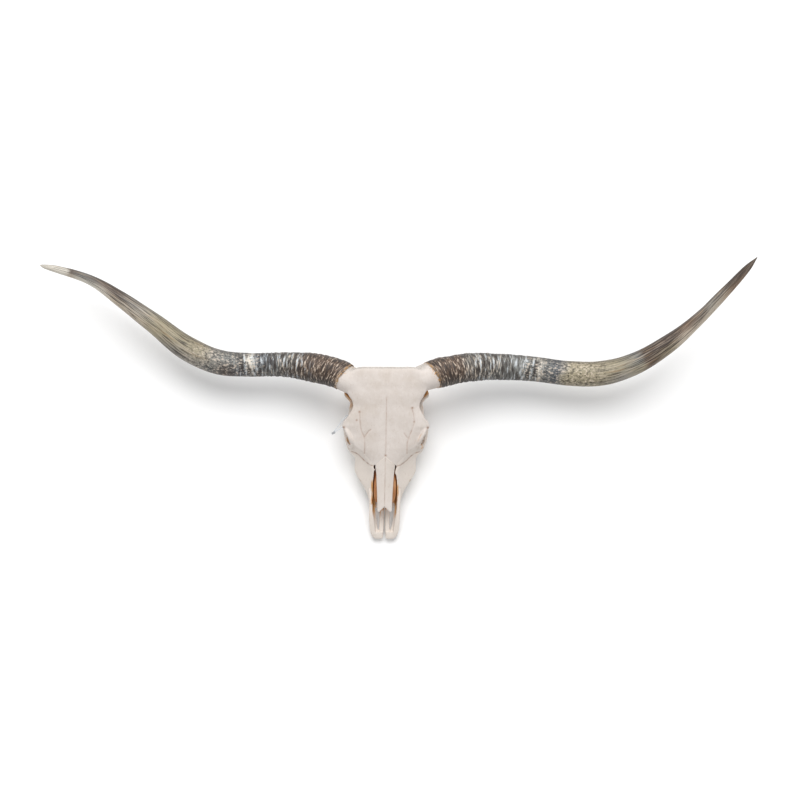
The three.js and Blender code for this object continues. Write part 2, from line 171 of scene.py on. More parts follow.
def oval(middle: np.ndarray | float, along: np.ndarray, turn: np.ndarray, wide: np.ndarray,
         tall: np.ndarray) -> np.ndarray:
    """Points on oval sections that stand square to a line.

    Args:
        middle: Middle of each point's section.
        along: The line's direction there, one unit vector a row.
        turn: Angle round the section.
        wide: Half width of the section.
        tall: Half height of it.

    Returns:
        One point a row.
    """
    across = np.cross((0.0, 0.0, 1.0), along)
    across /= np.maximum(np.linalg.norm(across, axis=1), 1e-9)[:, None]
    up = np.cross(along, across)
    return middle + across * (wide * np.cos(turn))[:, None] + up * (tall * np.sin(turn))[:, None]


# ---------------------------------------------------------------- meshes
def object_from(bm: bmesh.types.BMesh, name: str) -> Object:
    """Frees a bmesh into a new object of the scene.

    Args:
        bm: The finished bmesh, which is freed.
        name: Name of the object and its mesh.

    Returns:
        The new object.
    """
    mesh = bpy.data.meshes.new(name)
    bm.to_mesh(mesh)
    bm.free()
    piece = bpy.data.objects.new(name, mesh)
    bpy.context.scene.collection.objects.link(piece)
    return piece


def rolled(name: str, rows: int, columns: int, surface: Surface) -> Object:
    """Rolls a grid into a closed shell.

    Args:
        name: Name of the new object.
        rows: Steps along the shell.
        columns: Steps round it.
        surface: Gives the place of each grid point from its share along and its share round.

    Returns:
        The shell, closed at both ends.
    """
    bm = bmesh.new()
    bmesh.ops.create_grid(bm, x_segments=rows, y_segments=columns, size=1.0)
    flat = np.array([v.co[:2] for v in bm.verts])
    for vert, place in zip(bm.verts, surface((flat[:, 0] + 1) / 2, (flat[:, 1] + 1) / 2).tolist()):
        vert.co = place
    bmesh.ops.remove_doubles(bm, verts=bm.verts, dist=1e-3)
    bmesh.ops.holes_fill(bm, edges=[e for e in bm.edges if e.is_boundary])
    bmesh.ops.recalc_face_normals(bm, faces=bm.faces)
    return object_from(bm, name)


def ball(centre: Sequence[float], radii: Sequence[float]) -> Object:
    """An egg shape.

    Args:
        centre: Its middle.
        radii: Its half sizes along X, Y and Z.

    Returns:
        The shape.
    """
    bm = bmesh.new()
    bmesh.ops.create_uvsphere(bm, u_segments=40, v_segments=24, radius=1.0)
    bmesh.ops.scale(bm, vec=radii, verts=bm.verts)
    bmesh.ops.translate(bm, vec=centre, verts=bm.verts)
    return object_from(bm, "ball")


def block(low: Sequence[float], high: Sequence[float]) -> Object:
    """A box between two corners.

    Args:
        low: The corner with the least X, Y and Z.
        high: The corner opposite.

    Returns:
        The box.
    """
    bm = bmesh.new()
    bmesh.ops.create_cube(bm, size=1.0)
    bmesh.ops.scale(bm, vec=np.subtract(high, low), verts=bm.verts)
    bmesh.ops.translate(bm, vec=np.add(low, high) / 2, verts=bm.verts)
    return object_from(bm, "block")


def prism(plan: Plan, low: float, high: float) -> Object:
    """An upright prism over a closed outline.

    Args:
        plan: X and Y of the outline's corners.
        low: Z of the underside.
        high: Z of the top.

    Returns:
        The prism.
    """
    bm = bmesh.new()
    verts = [bm.verts.new((x, y, low)) for x, y in plan]
    face = bm.faces.new(verts)
    lifted = bmesh.ops.extrude_face_region(bm, geom=[face])["geom"]
    moved = [g for g in lifted if isinstance(g, bmesh.types.BMVert)]
    bmesh.ops.translate(bm, vec=(0, 0, high - low), verts=moved)
    bmesh.ops.recalc_face_normals(bm, faces=bm.faces)
    return object_from(bm, "prism")


def bar(points: Sequence, radii: Sequence, rows: int = 60, columns: int = 32) -> Object:
    """A bar with oval sections along a smooth line.

    Args:
        points: Places of the line.
        radii: Half sizes sideways and upwards, from one end to the other.
        rows: Steps along the bar.
        columns: Steps round it.

    Returns:
        The bar, with flat ends.
    """
    line = np.asarray(points, float)
    keys = np.concatenate([[0], np.cumsum(np.linalg.norm(np.diff(line, axis=0), axis=1))])
    thick = np.linspace(0, keys[-1], len(radii))

    def surface(u: np.ndarray, v: np.ndarray) -> np.ndarray:
        """Places the bar's grid points.

        Args:
            u: Share of the way along it, for each point.
            v: Share of the way round it.

        Returns:
            One point a row.
        """
        at = u * keys[-1]
        middle = curve_through(keys, line, at)
        ahead = curve_through(keys, line, np.minimum(at + 0.5, keys[-1]))
        along = ahead - curve_through(keys, line, at - 0.5)
        along /= np.linalg.norm(along, axis=1)[:, None]
        size = curve_through(thick, radii, at)
        return oval(middle, along, v * 2 * math.pi, size[:, 0], size[:, 1])

    return rolled("bar", rows, columns, surface)


def post(levels: Sequence, rows: int = 40, columns: int = 32) -> Object:
    """An upright post.

    Args:
        levels: X, Y, Z of the middle and half sizes along X and Y, for each level.
        rows: Steps up the post.
        columns: Steps round it.

    Returns:
        The post, with flat ends.
    """
    table = np.asarray(levels, float)
    keys = np.concatenate([[0], np.cumsum(np.abs(np.diff(table[:, 2])))])

    def surface(u: np.ndarray, v: np.ndarray) -> np.ndarray:
        """Places the post's grid points.

        Args:
            u: Share of the way along it, for each point.
            v: Share of the way round it.

        Returns:
            One point a row.
        """
        at = curve_through(keys, table, u * keys[-1])
        turn = v * 2 * math.pi
        sides = np.stack([at[:, 3] * np.cos(turn), at[:, 4] * np.sin(turn), np.zeros_like(turn)], axis=1)
        return at[:, :3] + sides

    return rolled("post", rows, columns, surface)


def mirror_of(piece: Object) -> Object:
    """Mirrors a piece to the other side of the midline.

    Args:
        piece: The piece, which stays as it is.

    Returns:
        The mirrored copy.
    """
    bm = bmesh.new()
    bm.from_mesh(piece.data)
    bmesh.ops.scale(bm, vec=(-1, 1, 1), verts=bm.verts)
    bmesh.ops.reverse_faces(bm, faces=bm.faces)
    return object_from(bm, piece.name)


def copy_of(piece: Object, name: str) -> Object:
    """Copies a piece with its mesh.

    Args:
        piece: The piece.
        name: Name of the copy.

    Returns:
        The copy.
    """
    twin = bpy.data.objects.new(name, piece.data.copy())
    bpy.context.scene.collection.objects.link(twin)
    return twin


def discard(pieces: Iterable[Object]) -> None:
    """Removes working pieces and their meshes.

    Args:
        pieces: What is no longer needed.
    """
    for piece in list(pieces):
        mesh = piece.data
        bpy.data.objects.remove(piece)
        bpy.data.meshes.remove(mesh)


def fused(name: str, pieces: Sequence[Object]) -> Object:
    """Puts shells into one object, still as separate shells.

    Args:
        name: Name of the new object.
        pieces: The shells, which are removed.

    Returns:
        The object that holds them all.
    """
    bm = bmesh.new()
    for piece in pieces:
        bm.from_mesh(piece.data)
    discard(pieces)
    return object_from(bm, name)


def modified(piece: Object, kind: str, **settings: object) -> Object:
    """Applies one modifier to a piece.

    Args:
        piece: The piece to change.
        kind: The modifier's type.
        **settings: Its settings.

    Returns:
        The same piece.
    """
    modifier = piece.modifiers.new(kind.lower(), kind)
    for key, value in settings.items():
        setattr(modifier, key, value)
    graph = bpy.context.evaluated_depsgraph_get()
    mesh = bpy.data.meshes.new_from_object(piece.evaluated_get(graph))
    piece.modifiers.clear()
    old, piece.data = piece.data, mesh
    bpy.data.meshes.remove(old)
    mesh.name = piece.name
    return piece


def combined(piece: Object, other: Object, operation: str) -> Object:
    """Joins, cuts or crosses a piece with another, which is removed.

    Args:
        piece: The piece that changes.
        other: The piece that it is combined with.
        operation: UNION, DIFFERENCE or INTERSECT.

    Returns:
        The changed piece.
    """
    modified(piece, "BOOLEAN", operation=operation, solver="MANIFOLD", object=other)
    discard([other])
    return piece


def places(piece: Object) -> np.ndarray:
    """Reads where a piece's points are.

    Args:
        piece: The piece.

    Returns:
        One point a row.
    """
    co = np.empty(len(piece.data.vertices) * 3)
    piece.data.vertices.foreach_get("co", co)
    return co.reshape(-1, 3)


def facings(piece: Object) -> np.ndarray:
    """Reads in which direction a surface faces at each point.

    Args:
        piece: The piece.

    Returns:
        One unit vector a row.
    """
    vectors = np.empty(len(piece.data.vertices) * 3, np.float32)
    piece.data.vertex_normals.foreach_get("vector", vectors)
    return vectors.reshape(-1, 3).astype(float)


def move_points(piece: Object, co: np.ndarray) -> None:
    """Sets the piece's points."""
    piece.data.vertices.foreach_set("co", co.ravel())
    piece.data.update()


def relaxed(piece: Object, rounds: int, press: float = 0.5, back: float = -0.52) -> Object:
    """Evens out a surface, and pushes it back after each pass so thin bars don't shrink.

    Args:
        piece: The piece to smooth.
        rounds: Number of passes.
        press: Share of the way to the neighbours' middle.
        back: Share of the way back.

    Returns:
        The same piece.
    """
    pairs = np.empty(len(piece.data.edges) * 2, np.int32)
    piece.data.edges.foreach_get("vertices", pairs)
    a, b = pairs.reshape(-1, 2).T
    co = places(piece)
    count = np.maximum(np.bincount(a, minlength=len(co)) + np.bincount(b, minlength=len(co)), 1)
    for share in (press, back) * rounds:
        mean = np.stack([
            np.bincount(a, co[b, i], len(co)) + np.bincount(b, co[a, i], len(co)) for i in range(3)
        ], axis=1) / count[:, None]
        co += share * (mean - co)
    move_points(piece, co)
    return piece


def filleted(piece: Object, where: np.ndarray, rounds: int) -> Object:
    """Fills the crease between two shapes by evening out the surface there.

    Args:
        piece: The piece to smooth.
        where: Strength from 0 to 1 for each point.
        rounds: Number of passes.

    Returns:
        The same piece.
    """
    before = places(piece)
    relaxed(piece, rounds, 0.5, 0.0)
    after = places(piece)
    move_points(piece, before + (after - before) * where[:, None])
    return piece


def largest_shell(piece: Object) -> Object:
    """Keeps only the biggest connected shell of a piece.

    Args:
        piece: The piece to clean.

    Returns:
        The same piece.
    """
    bm = bmesh.new()
    bm.from_mesh(piece.data)
    seen: set = set()
    shells: list[list] = []
    for start in bm.verts:
        if start in seen:
            continue
        seen.add(start)
        shell, edge_of_search = [start], [start]
        while edge_of_search:
            vert = edge_of_search.pop()
            for edge in vert.link_edges:
                other = edge.other_vert(vert)
                if other not in seen:
                    seen.add(other)
                    shell.append(other)
                    edge_of_search.append(other)
        shells.append(shell)
    shells.sort(key=len)
    bmesh.ops.delete(bm, geom=[v for shell in shells[:-1] for v in shell], context="VERTS")
    bm.to_mesh(piece.data)
    bm.free()
    return piece


def write_layer(piece: Object, name: str, values: np.ndarray) -> None:
    """Stores a number or a vector for each point, which the materials read.

    Args:
        piece: The piece that carries the layer.
        name: Name of the layer.
        values: One number or one row of three for each point.
    """
    kind, key = ("FLOAT_VECTOR", "vector") if values.ndim == 2 else ("FLOAT", "value")
    layer = piece.data.attributes.new(name, kind, "POINT")
    layer.data.foreach_set(key, values.astype(np.float32).ravel())


def skewed(piece: Object) -> Object:
    """Slides the right side of the face forward by 1.4 mm, as hardly any real skull is quite even.

    Args:
        piece: The piece, in mm in the skull frame.

    Returns:
        The same piece.
    """
    co = places(piece)
    co[:, 1] += 0.014 * co[:, 0] * ramp(np.abs(co[:, 0]), 140, 105)
    move_points(piece, co)
    return piece


def settle(piece: Object, name: str, crease: float = 50.0) -> Object:
    """Turns a finished piece to metres in the row frame.

    Args:
        piece: The piece, in mm in the skull frame.
        name: The name that it keeps.
        crease: Angle in degrees from which an edge shades as sharp.

    Returns:
        The same piece.
    """
    piece.data.transform(TO_ROW)
    piece.name = piece.data.name = name
    piece.data.shade_smooth()
    piece.data.set_sharp_from_angle(angle=math.radians(crease))
    piece.data.update()
    return piece


def declare(piece: Object, slot: str, *nodes: str) -> None:
    """Hangs a piece on the root body, hides the nodes that it stands for and logs them.

    Args:
        piece: The finished piece.
        slot: Not used.
        *nodes: The nodes that it replaces.
    """
    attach(piece, "root")
    if nodes:
        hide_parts(*nodes)
    stood_for = ", ".join(nodes) or "nothing"
    log.info("%s: %d faces, stands for %s", piece.name, len(piece.data.polygons), stood_for)


# ---------------------------------------------------------------- finishes
def tone(code: str) -> tuple[float, float, float, float]:
    """Turns an sRGB hex colour to linear light.

    Args:
        code: Six hex digits after a #.

    Returns:
        Red, green, blue and an alpha of 1.
    """
    shares = [int(code[i:i + 2], 16) / 255 for i in (1, 3, 5)]
    return tuple(c / 12.92 if c <= 0.04045 else ((c + 0.055) / 1.055) ** 2.4 for c in shares) + (1.0,)


def add_node(tree: bpy.types.NodeTree, kind: str, inputs: dict | None = None,
             **settings: object) -> bpy.types.Node:
    """Adds a node with its settings and links.

    Args:
        tree: The material's node tree.
        kind: Class name of the node.
        inputs: A value or a linked socket for each input, by name or number.
        **settings: Other settings of the node.

    Returns:
        The new node.
    """
    node = tree.nodes.new(kind)
    for key, value in settings.items():
        setattr(node, key, value)
    for key, value in (inputs or {}).items():
        if isinstance(value, bpy.types.NodeSocket):
            tree.links.new(value, node.inputs[key])
        else:
            node.inputs[key].default_value = value
    return node


class Palette:
    """Node chains that several finishes share, in one material."""

    def __init__(self, name: str) -> None:
        """Starts a material with an empty tree.

        Args:
            name: Name of the material.
        """
        self.material = bpy.data.materials.new(name)
        self.material.use_nodes = True
        self.tree = self.material.node_tree
        self.tree.nodes.clear()

    def node(self, kind: str, inputs: dict | None = None, **settings: object) -> bpy.types.Node:
        """Adds a node to this material."""
        return add_node(self.tree, "ShaderNode" + kind, inputs, **settings)

    def grain(self, place: bpy.types.NodeSocket, size: Sequence[float], detail: float = 3.0,
              rough: float = 0.5) -> bpy.types.NodeSocket:
        """Noise with its own spacing along each axis.

        Args:
            place: Coordinates in metres.
            size: Spacing in mm along X, Y and Z.
            detail: Octaves.
            rough: Strength of the finer octaves.

        Returns:
            The noise, from 0 to 1.
        """
        scaled = self.node("VectorMath", {0: place, 1: tuple(1000.0 / s for s in size)}, operation="MULTIPLY")
        found = self.node("TexNoise", {
            "Vector": scaled.outputs[0], "Scale": 1.0, "Detail": detail, "Roughness": rough,
        }, noise_dimensions="3D")
        return found.outputs[0]

    def window(self, value: bpy.types.NodeSocket, low: float, high: float,
               top: float = 1.0) -> bpy.types.NodeSocket:
        """A smooth step of a value, from 0 at ``low`` to ``top`` at ``high``."""
        limits = {0: value, 1: low, 2: high, 3: 0.0, 4: top}
        return self.node("MapRange", limits, interpolation_type="SMOOTHSTEP").outputs[0]

    def blend_in(self, first: bpy.types.NodeSocket, factor: object, second: object) -> bpy.types.NodeSocket:
        """Multiplies a value by a factor and adds another value."""
        return self.node("Math", {0: first, 1: factor, 2: second}, operation="MULTIPLY_ADD").outputs[0]

    def both(self, first: bpy.types.NodeSocket, *others: object) -> bpy.types.NodeSocket:
        """One factor times the others."""
        for other in others:
            first = self.node("Math", {0: first, 1: other}, operation="MULTIPLY").outputs[0]
        return first

    def stretch(self, value: bpy.types.NodeSocket, start: float, full: float, until: float,
                end: float) -> bpy.types.NodeSocket:
        """A factor that rises between two values and falls again between two others."""
        return self.both(self.window(value, start, full), self.window(value, end, until))

    def over(self, below: object, above: object, share: object) -> bpy.types.NodeSocket:
        """One colour laid over another by a share."""
        return self.node("Mix", {0: share, 6: below, 7: above}, data_type="RGBA").outputs[2]

    def finish(self, bump: bpy.types.NodeSocket | None = None, height: float = 0.0,
               **sockets: object) -> bpy.types.Material:
        """Closes the tree with one shader.

        Args:
            bump: Height pattern from 0 to 1.
            height: Depth of the pattern in mm.
            **sockets: Inputs of the shader, with _ for a space.

        Returns:
            The finished material.
        """
        inputs = {key.replace("_", " "): value for key, value in sockets.items()}
        if bump is not None:
            relief = self.node("Bump", {"Height": bump, "Strength": 1.0, "Distance": height / 1000.0})
            inputs["Normal"] = relief.outputs[0]
        shader = self.node("BsdfPrincipled", inputs)
        self.node("OutputMaterial", {"Surface": shader.outputs[0]})
        return self.material


@dataclass(frozen=True)
class BleachedBone:
    """Cow bone, boiled and sun-bleached: dull cream with tea-brown stain left where it can't dry."""

    name: str = "bleached_bone"
    clean: str = "#cac1ba"
    chalky: str = "#d5cdc7"
    grey: str = "#bbafa3"
    # Colour of the bleaching, which partly stands in for painted light on bones lying in shade.
    white: str = "#e5dbd1"
    tan: str = "#cb975a"
    rust: str = "#a0622d"
    deep: str = "#4d2213"
    seam: str = "#8d6141"
    # Colour of the painted shade on the rear-facing nape.
    dirt: str = "#8b8781"

    def material(self) -> bpy.types.Material:
        """Builds the material, which reads the layers for stain, seams, painted shade on the nape, and
        bleaching mixed with painted light.

        Returns:
            The material.
        """
        p = Palette(self.name)
        place = p.node("TexCoord").outputs["Object"]
        stain = p.node("Attribute", attribute_name="stain").outputs["Fac"]
        seam = p.node("Attribute", attribute_name="seam").outputs["Fac"]
        grime = p.node("Attribute", attribute_name="grime").outputs["Fac"]
        # Broad clouds 55 mm across, where fat has left the bone greyer or the sun has chalked it.
        clouds = p.grain(place, (55, 55, 55), 2.0)
        colour = p.over(tone(self.clean), tone(self.grey), p.window(clouds, 0.45, 0.75, 0.4))
        colour = p.over(colour, tone(self.chalky), p.window(clouds, 0.5, 0.28, 0.6))
        # Blotches of 9 mm, where the surface has dried unevenly.
        blotches = p.grain(place, (9, 12, 9), 3.0, 0.6)
        colour = p.over(colour, tone(self.grey), p.window(blotches, 0.5, 0.7, 0.22))
        colour = p.over(colour, tone(self.chalky), p.window(blotches, 0.48, 0.32, 0.35))
        # Some bones take a whiter tone: partly the cheeks, jaws and muzzle bleached whiter than the forehead,
        # partly painted light that lifts bones lying in shade, such as the cheek arch and the braincase
        # beside it.
        bleach = p.node("Attribute", attribute_name="bleach").outputs["Fac"]
        colour = p.over(colour, tone(self.white), bleach)
        # Fine streaks 2 mm wide that run along the skull, as weathered bone splits.
        streaks = p.grain(place, (2.0, 18, 6), 3.0)
        colour = p.over(colour, tone(self.seam), p.window(streaks, 0.58, 0.8, 0.2))
        # Pores of 1.5 mm, 3 mm apart and browner than the face of the bone.
        pores = p.grain(place, (3.0, 3.0, 3.0), 2.0, 0.6)
        colour = p.over(colour, tone(self.seam), p.window(pores, 0.63, 0.76, 0.34))
        # The stain's border follows the clouds, so it isn't even.
        uneven = p.node("Math", {0: clouds, 1: 0.5}, operation="SUBTRACT").outputs[0]
        worn = p.node("Math", {0: stain, 1: uneven}, operation="ADD").outputs[0]
        colour = p.over(colour, tone(self.tan), p.window(worn, 0.24, 0.62))
        colour = p.over(colour, tone(self.rust), p.window(worn, 0.6, 0.92))
        colour = p.over(colour, tone(self.deep), p.window(stain, 0.9, 1.0))
        colour = p.over(colour, tone(self.seam), p.both(seam, 0.85))
        # Painted shade: the rear-facing nape is darkened in a speckled pattern that follows the pores.
        colour = p.over(colour, tone(self.dirt), p.both(grime, p.window(pores, 0.3, 0.6), 0.75))
        return p.finish(bump=p.grain(place, (1.6, 2.6, 1.6), 4.0, 0.6), height=0.35,
                        Base_Color=colour, Roughness=0.72, IOR=1.53)


@dataclass(frozen=True)
class WornEnamel:
    """Cheek-tooth enamel over cement: cream ridges with brown in the pits."""

    name: str = "worn_tooth_enamel"
    enamel: str = "#e8e0cd"
    cement: str = "#8d6f48"

    def material(self) -> bpy.types.Material:
        """Builds the material, which reads the layer pit.

        Returns:
            The material.
        """
        p = Palette(self.name)
        place = p.node("TexCoord").outputs["Object"]
        pit = p.node("Attribute", attribute_name="pit").outputs["Fac"]
        # Upright growth lines, 1.5 mm apart.
        lines = p.grain(place, (1.5, 1.5, 14), 3.0)
        colour = p.over(tone(self.enamel), tone(self.cement), p.window(lines, 0.5, 0.8, 0.55))
        colour = p.over(colour, tone(self.cement), pit)
        return p.finish(bump=lines, height=0.3, Base_Color=colour, Roughness=0.36, IOR=1.62)


class Keratin(Enum):
    """Tones of horn, from the sun-bleached outer layers to the fresh dark ones."""

    IVORY = "#cfcabf"
    CREAM = "#bdb1a0"
    OLIVE = "#90876f"
    STONE = "#86827a"
    SLATE = "#6b6c69"
    INK = "#484d53"
    UMBER = "#43352b"
    BROWN = "#604b3b"
    TAN = "#8f7864"


@dataclass(frozen=True)
class Zone:
    """The tones of a horn at one distance from its rim, on its back and its front side."""

    at: float
    back: Keratin
    front: Keratin


@dataclass(frozen=True)
class WeatheredHorn:
    """A horn sheath of layered keratin, unpolished: ringed at the root, fibrous towards the tip."""

    name: str
    zones: tuple[Zone, ...]
    length: float
    fleck: str = "#d6c6b4"
    crack: str = "#20140c"
    frost: str = "#d2d8dc"
    # Colour of the painted shade along the horn's narrow edges.
    edge: str = "#2a2420"
    chip: str = "#9c7746"

    def tones(self, p: Palette, share: bpy.types.NodeSocket, front: bool) -> bpy.types.NodeSocket:
        """The tones of one side of the horn.

        Args:
            p: The material's palette.
            share: Place along the horn from 0 to 1.
            front: Reads the front side's tones.

        Returns:
            The colour.
        """
        node = p.node("ValToRGB", {0: share})
        stops = node.color_ramp.elements
        while len(stops) < len(self.zones):
            stops.new(1.0)
        for stop, zone in zip(stops, self.zones):
            stop.position = zone.at / self.length
        for stop, zone in zip(stops, self.zones):
            stop.color = tone((zone.front if front else zone.back).value)
        return node.outputs[0]

    def material(self) -> bpy.types.Material:
        """Builds the material, which reads the layers grain and ridge.

        Returns:
            The material.
        """
        p = Palette(self.name)
        place = p.node("Attribute", attribute_name="grain").outputs["Vector"]
        ridge = p.node("Attribute", attribute_name="ridge").outputs["Fac"]
        parts = p.node("SeparateXYZ", {0: place})
        along, across = parts.outputs[0], parts.outputs[1]
        # The borders between tones wander by up to 20 mm either way, with a ragged edge.
        wander = p.grain(place, (45, 22, 22), 4.0, 0.6)
        moved = p.blend_in(wander, 0.04, along)
        share = p.node("Math", {0: moved, 1: 0.02}, operation="SUBTRACT").outputs[0]
        share = p.node("Math", {0: share, 1: self.length / 1000}, operation="DIVIDE").outputs[0]
        # Fibres 3 mm wide that run along the horn for about 70 mm.
        fibres = p.grain(place, (70, 3.2, 3.2), 4.0, 0.6)
        side_place = p.blend_in(fibres, 0.05, across)
        side = p.window(side_place, 0.036, -0.004)
        colour = p.over(self.tones(p, share, False), self.tones(p, share, True), side)
        # Broken rings of 3.4 mm round the root: dirt and dark keratin between bleached crests.
        root = p.window(along, 0.25, 0.16)
        rings = p.grain(place, (3.4, 13, 13), 4.0, 0.65)
        low = p.both(p.window(rings, 0.52, 0.44), root)
        high = p.both(p.window(rings, 0.53, 0.6), root)
        colour = p.over(colour, tone(self.crack), p.both(low, 0.85))
        colour = p.over(colour, tone(self.crack), p.both(p.window(ridge, 0.45, 0.1), root, 0.6))
        colour = p.over(colour, tone(self.fleck), p.both(high, p.window(ridge, 0.3, 0.6), 0.7))
        # Frosty bands of 7 mm across the horn, where it has split between the last rings.
        band = p.stretch(along, 0.07, 0.13, 0.28, 0.32)
        frosted = p.grain(place, (7, 40, 40), 4.0, 0.65)
        colour = p.over(colour, tone(self.crack), p.both(p.window(frosted, 0.5, 0.43), band, 0.8))
        colour = p.over(colour, tone(self.frost), p.both(p.window(frosted, 0.54, 0.62), band, 0.65))
        # Speckles of 4.5 by 7 mm in the middle of the horn, where thin outer layers have flaked.
        unit = self.length / 1000
        specks = p.grain(place, (7, 4.5, 4.5), 4.0, 0.65)
        middle = p.stretch(along, 0.23 * unit, 0.27 * unit, 0.42 * unit, 0.54 * unit)
        colour = p.over(colour, tone(self.crack), p.both(p.window(specks, 0.53, 0.61), middle, 0.85))
        colour = p.over(colour, tone(self.fleck), p.both(p.window(specks, 0.46, 0.38), middle, 0.65))
        # Long streaks of dark, pale and golden fibre towards the tip.
        outer = p.window(along, 0.4 * unit, 0.52 * unit)
        colour = p.over(colour, tone(self.fleck), p.both(p.window(fibres, 0.47, 0.37), outer, 0.3))
        colour = p.over(colour, tone(self.crack), p.both(p.window(fibres, 0.51, 0.6), outer, 0.82))
        golden = p.grain(place, (90, 5, 5), 3.0, 0.5)
        colour = p.over(colour, tone(self.chip), p.both(p.window(golden, 0.56, 0.68), outer, 0.35))
        # Painted shade: the narrow back edges are darker along the whole horn, and the narrow front edges are
        # darker near the root.
        colour = p.over(colour, tone(self.edge), p.both(p.window(across, 0.018, 0.029), 0.5))
        rooted = p.window(along, 0.5 * unit, 0.32 * unit)
        colour = p.over(colour, tone(self.edge), p.both(p.window(across, -0.018, -0.029), rooted, 0.35))
        # The rim is thin enough to let light through, so it looks tan.
        flakes = p.grain(place, (5, 7, 7), 3.0, 0.6)
        torn = p.blend_in(flakes, 0.03, along)
        colour = p.over(colour, tone(self.chip), p.both(p.window(torn, 0.017, 0.012), 0.8))
        relief = p.blend_in(rings, root, fibres)
        return p.finish(bump=relief, height=0.45, Base_Color=colour, Roughness=0.58, IOR=1.55)


@dataclass(frozen=True)
class ClearNylon:
    """Extruded nylon: milky white where light scatters in it, with a soft shine."""

    name: str = "clear_nylon"
    body: str = "#e3eaf0"
    drawn: str = "#c9d2da"

    def material(self) -> bpy.types.Material:
        """Builds the material.

        Returns:
            The material.
        """
        p = Palette(self.name)
        place = p.node("TexCoord").outputs["Object"]
        # Draw marks from the die, 0.6 mm apart.
        marks = p.grain(place, (0.6, 0.6, 0.6), 2.0)
        colour = p.over(tone(self.body), tone(self.drawn), p.window(marks, 0.5, 0.8, 0.5))
        return p.finish(bump=marks, height=0.05, Base_Color=colour, Roughness=0.22, IOR=1.53,
                        Transmission_Weight=0.15)


@dataclass(frozen=True)
class GreyBarb:
    """Moulded grey plastic with a fine eroded texture."""

    name: str = "grey_moulded_plastic"
    body: str = "#a2a4a6"
    pitted: str = "#8e8f91"

    def material(self) -> bpy.types.Material:
        """Builds the material.

        Returns:
            The material.
        """
        p = Palette(self.name)
        place = p.node("TexCoord").outputs["Object"]
        # The mould's spark-eroded texture, 0.5 mm.
        spark = p.grain(place, (0.5, 0.5, 0.5), 2.0)
        colour = p.over(tone(self.body), tone(self.pitted), p.window(spark, 0.5, 0.8, 0.4))
        return p.finish(bump=spark, height=0.05, Base_Color=colour, Roughness=0.5, IOR=1.5)


# ---------------------------------------------------------------- the skull as one body
@dataclass(frozen=True)
class Station:
    """Outline of the skull at one Y: heights of the midline and underside, X and Z of three corners."""

    y: float
    crest: float
    brow: tuple[float, float]
    side: tuple[float, float]
    low: tuple[float, float]
    under: float

    def row(self) -> list[float]:
        """The station as one row of numbers."""
        return [self.crest, *self.brow, *self.side, *self.low, self.under]


OUTLINE = (
    Station(-1, 166, (84, 164), (68, 124), (95, 80), 62),
    Station(-8.5, 176, (89, 173), (70, 126), (103, 78), 57),
    Station(-40, 178, (104, 166), (63, 126), (102, 76), 55),
    Station(-62, 175.5, (110, 158), (59, 126), (97, 75), 54),
    Station(-80, 173, (104, 156), (56, 126), (90, 74), 54),
    Station(-96, 169.8, (94, 154), (55, 124), (75, 77), 54),
    Station(-110, 166.5, (89.5, 152), (54, 122), (62, 80), 54),
    Station(-140, 160, (104.5, 146), (57, 114), (47, 80), 58),
    Station(-152, 157, (113.5, 141), (58, 110), (45, 74), 59),
    Station(-163, 154, (117.5, 138), (60, 106), (44, 69), 60),
    Station(-171, 152, (112.5, 136), (61, 105), (45, 66), 59),
    Station(-184, 148.6, (106.5, 132.5), (64, 104), (48, 61), 56),
    Station(-197, 145.2, (101, 130.5), (70, 103), (56, 58), 51),
    Station(-208, 142.4, (95, 129), (80, 101), (66, 54), 46),
    Station(-225, 138, (72, 128), (97, 98), (84, 48), 38),
    Station(-250, 130, (52, 119), (80, 84), (77, 32), 31),
    Station(-284, 118.5, (35, 108), (81, 64), (72, 26), 30),
    Station(-305, 111.5, (34, 98), (72, 59), (66, 25), 29),
    Station(-335, 102, (33, 86), (53.5, 55), (50, 25), 27),
    Station(-366, 90, (33, 66), (42.5, 42), (37.5, 24), 23),
    Station(-386, 70, (32, 48), (38, 34), (33, 22), 20),
)


@dataclass(frozen=True)
class HornLine:
    """Middle line of a horn: X, Y, Z and radius, and the plane where its sheath ends on the bony peg."""

    side: Side
    line: tuple[tuple[float, float, float, float], ...]
    rim_point: tuple[float, float, float]
    rim_normal: tuple[float, float, float]
    length: float  # of the sheath, along the line
    seed: float

    def keys(self) -> np.ndarray:
        """Places of the points along the line."""
        steps = np.diff(np.asarray(self.line)[:, :3], axis=0)
        return np.concatenate([[0], np.cumsum(np.sqrt(np.linalg.norm(steps, axis=1)))])

    def plane(self) -> tuple[np.ndarray, float]:
        """The rim plane's direction to the tip and its distance from the origin."""
        normal = np.asarray(self.rim_normal) / np.linalg.norm(self.rim_normal)
        return normal, float(normal @ np.asarray(self.rim_point))


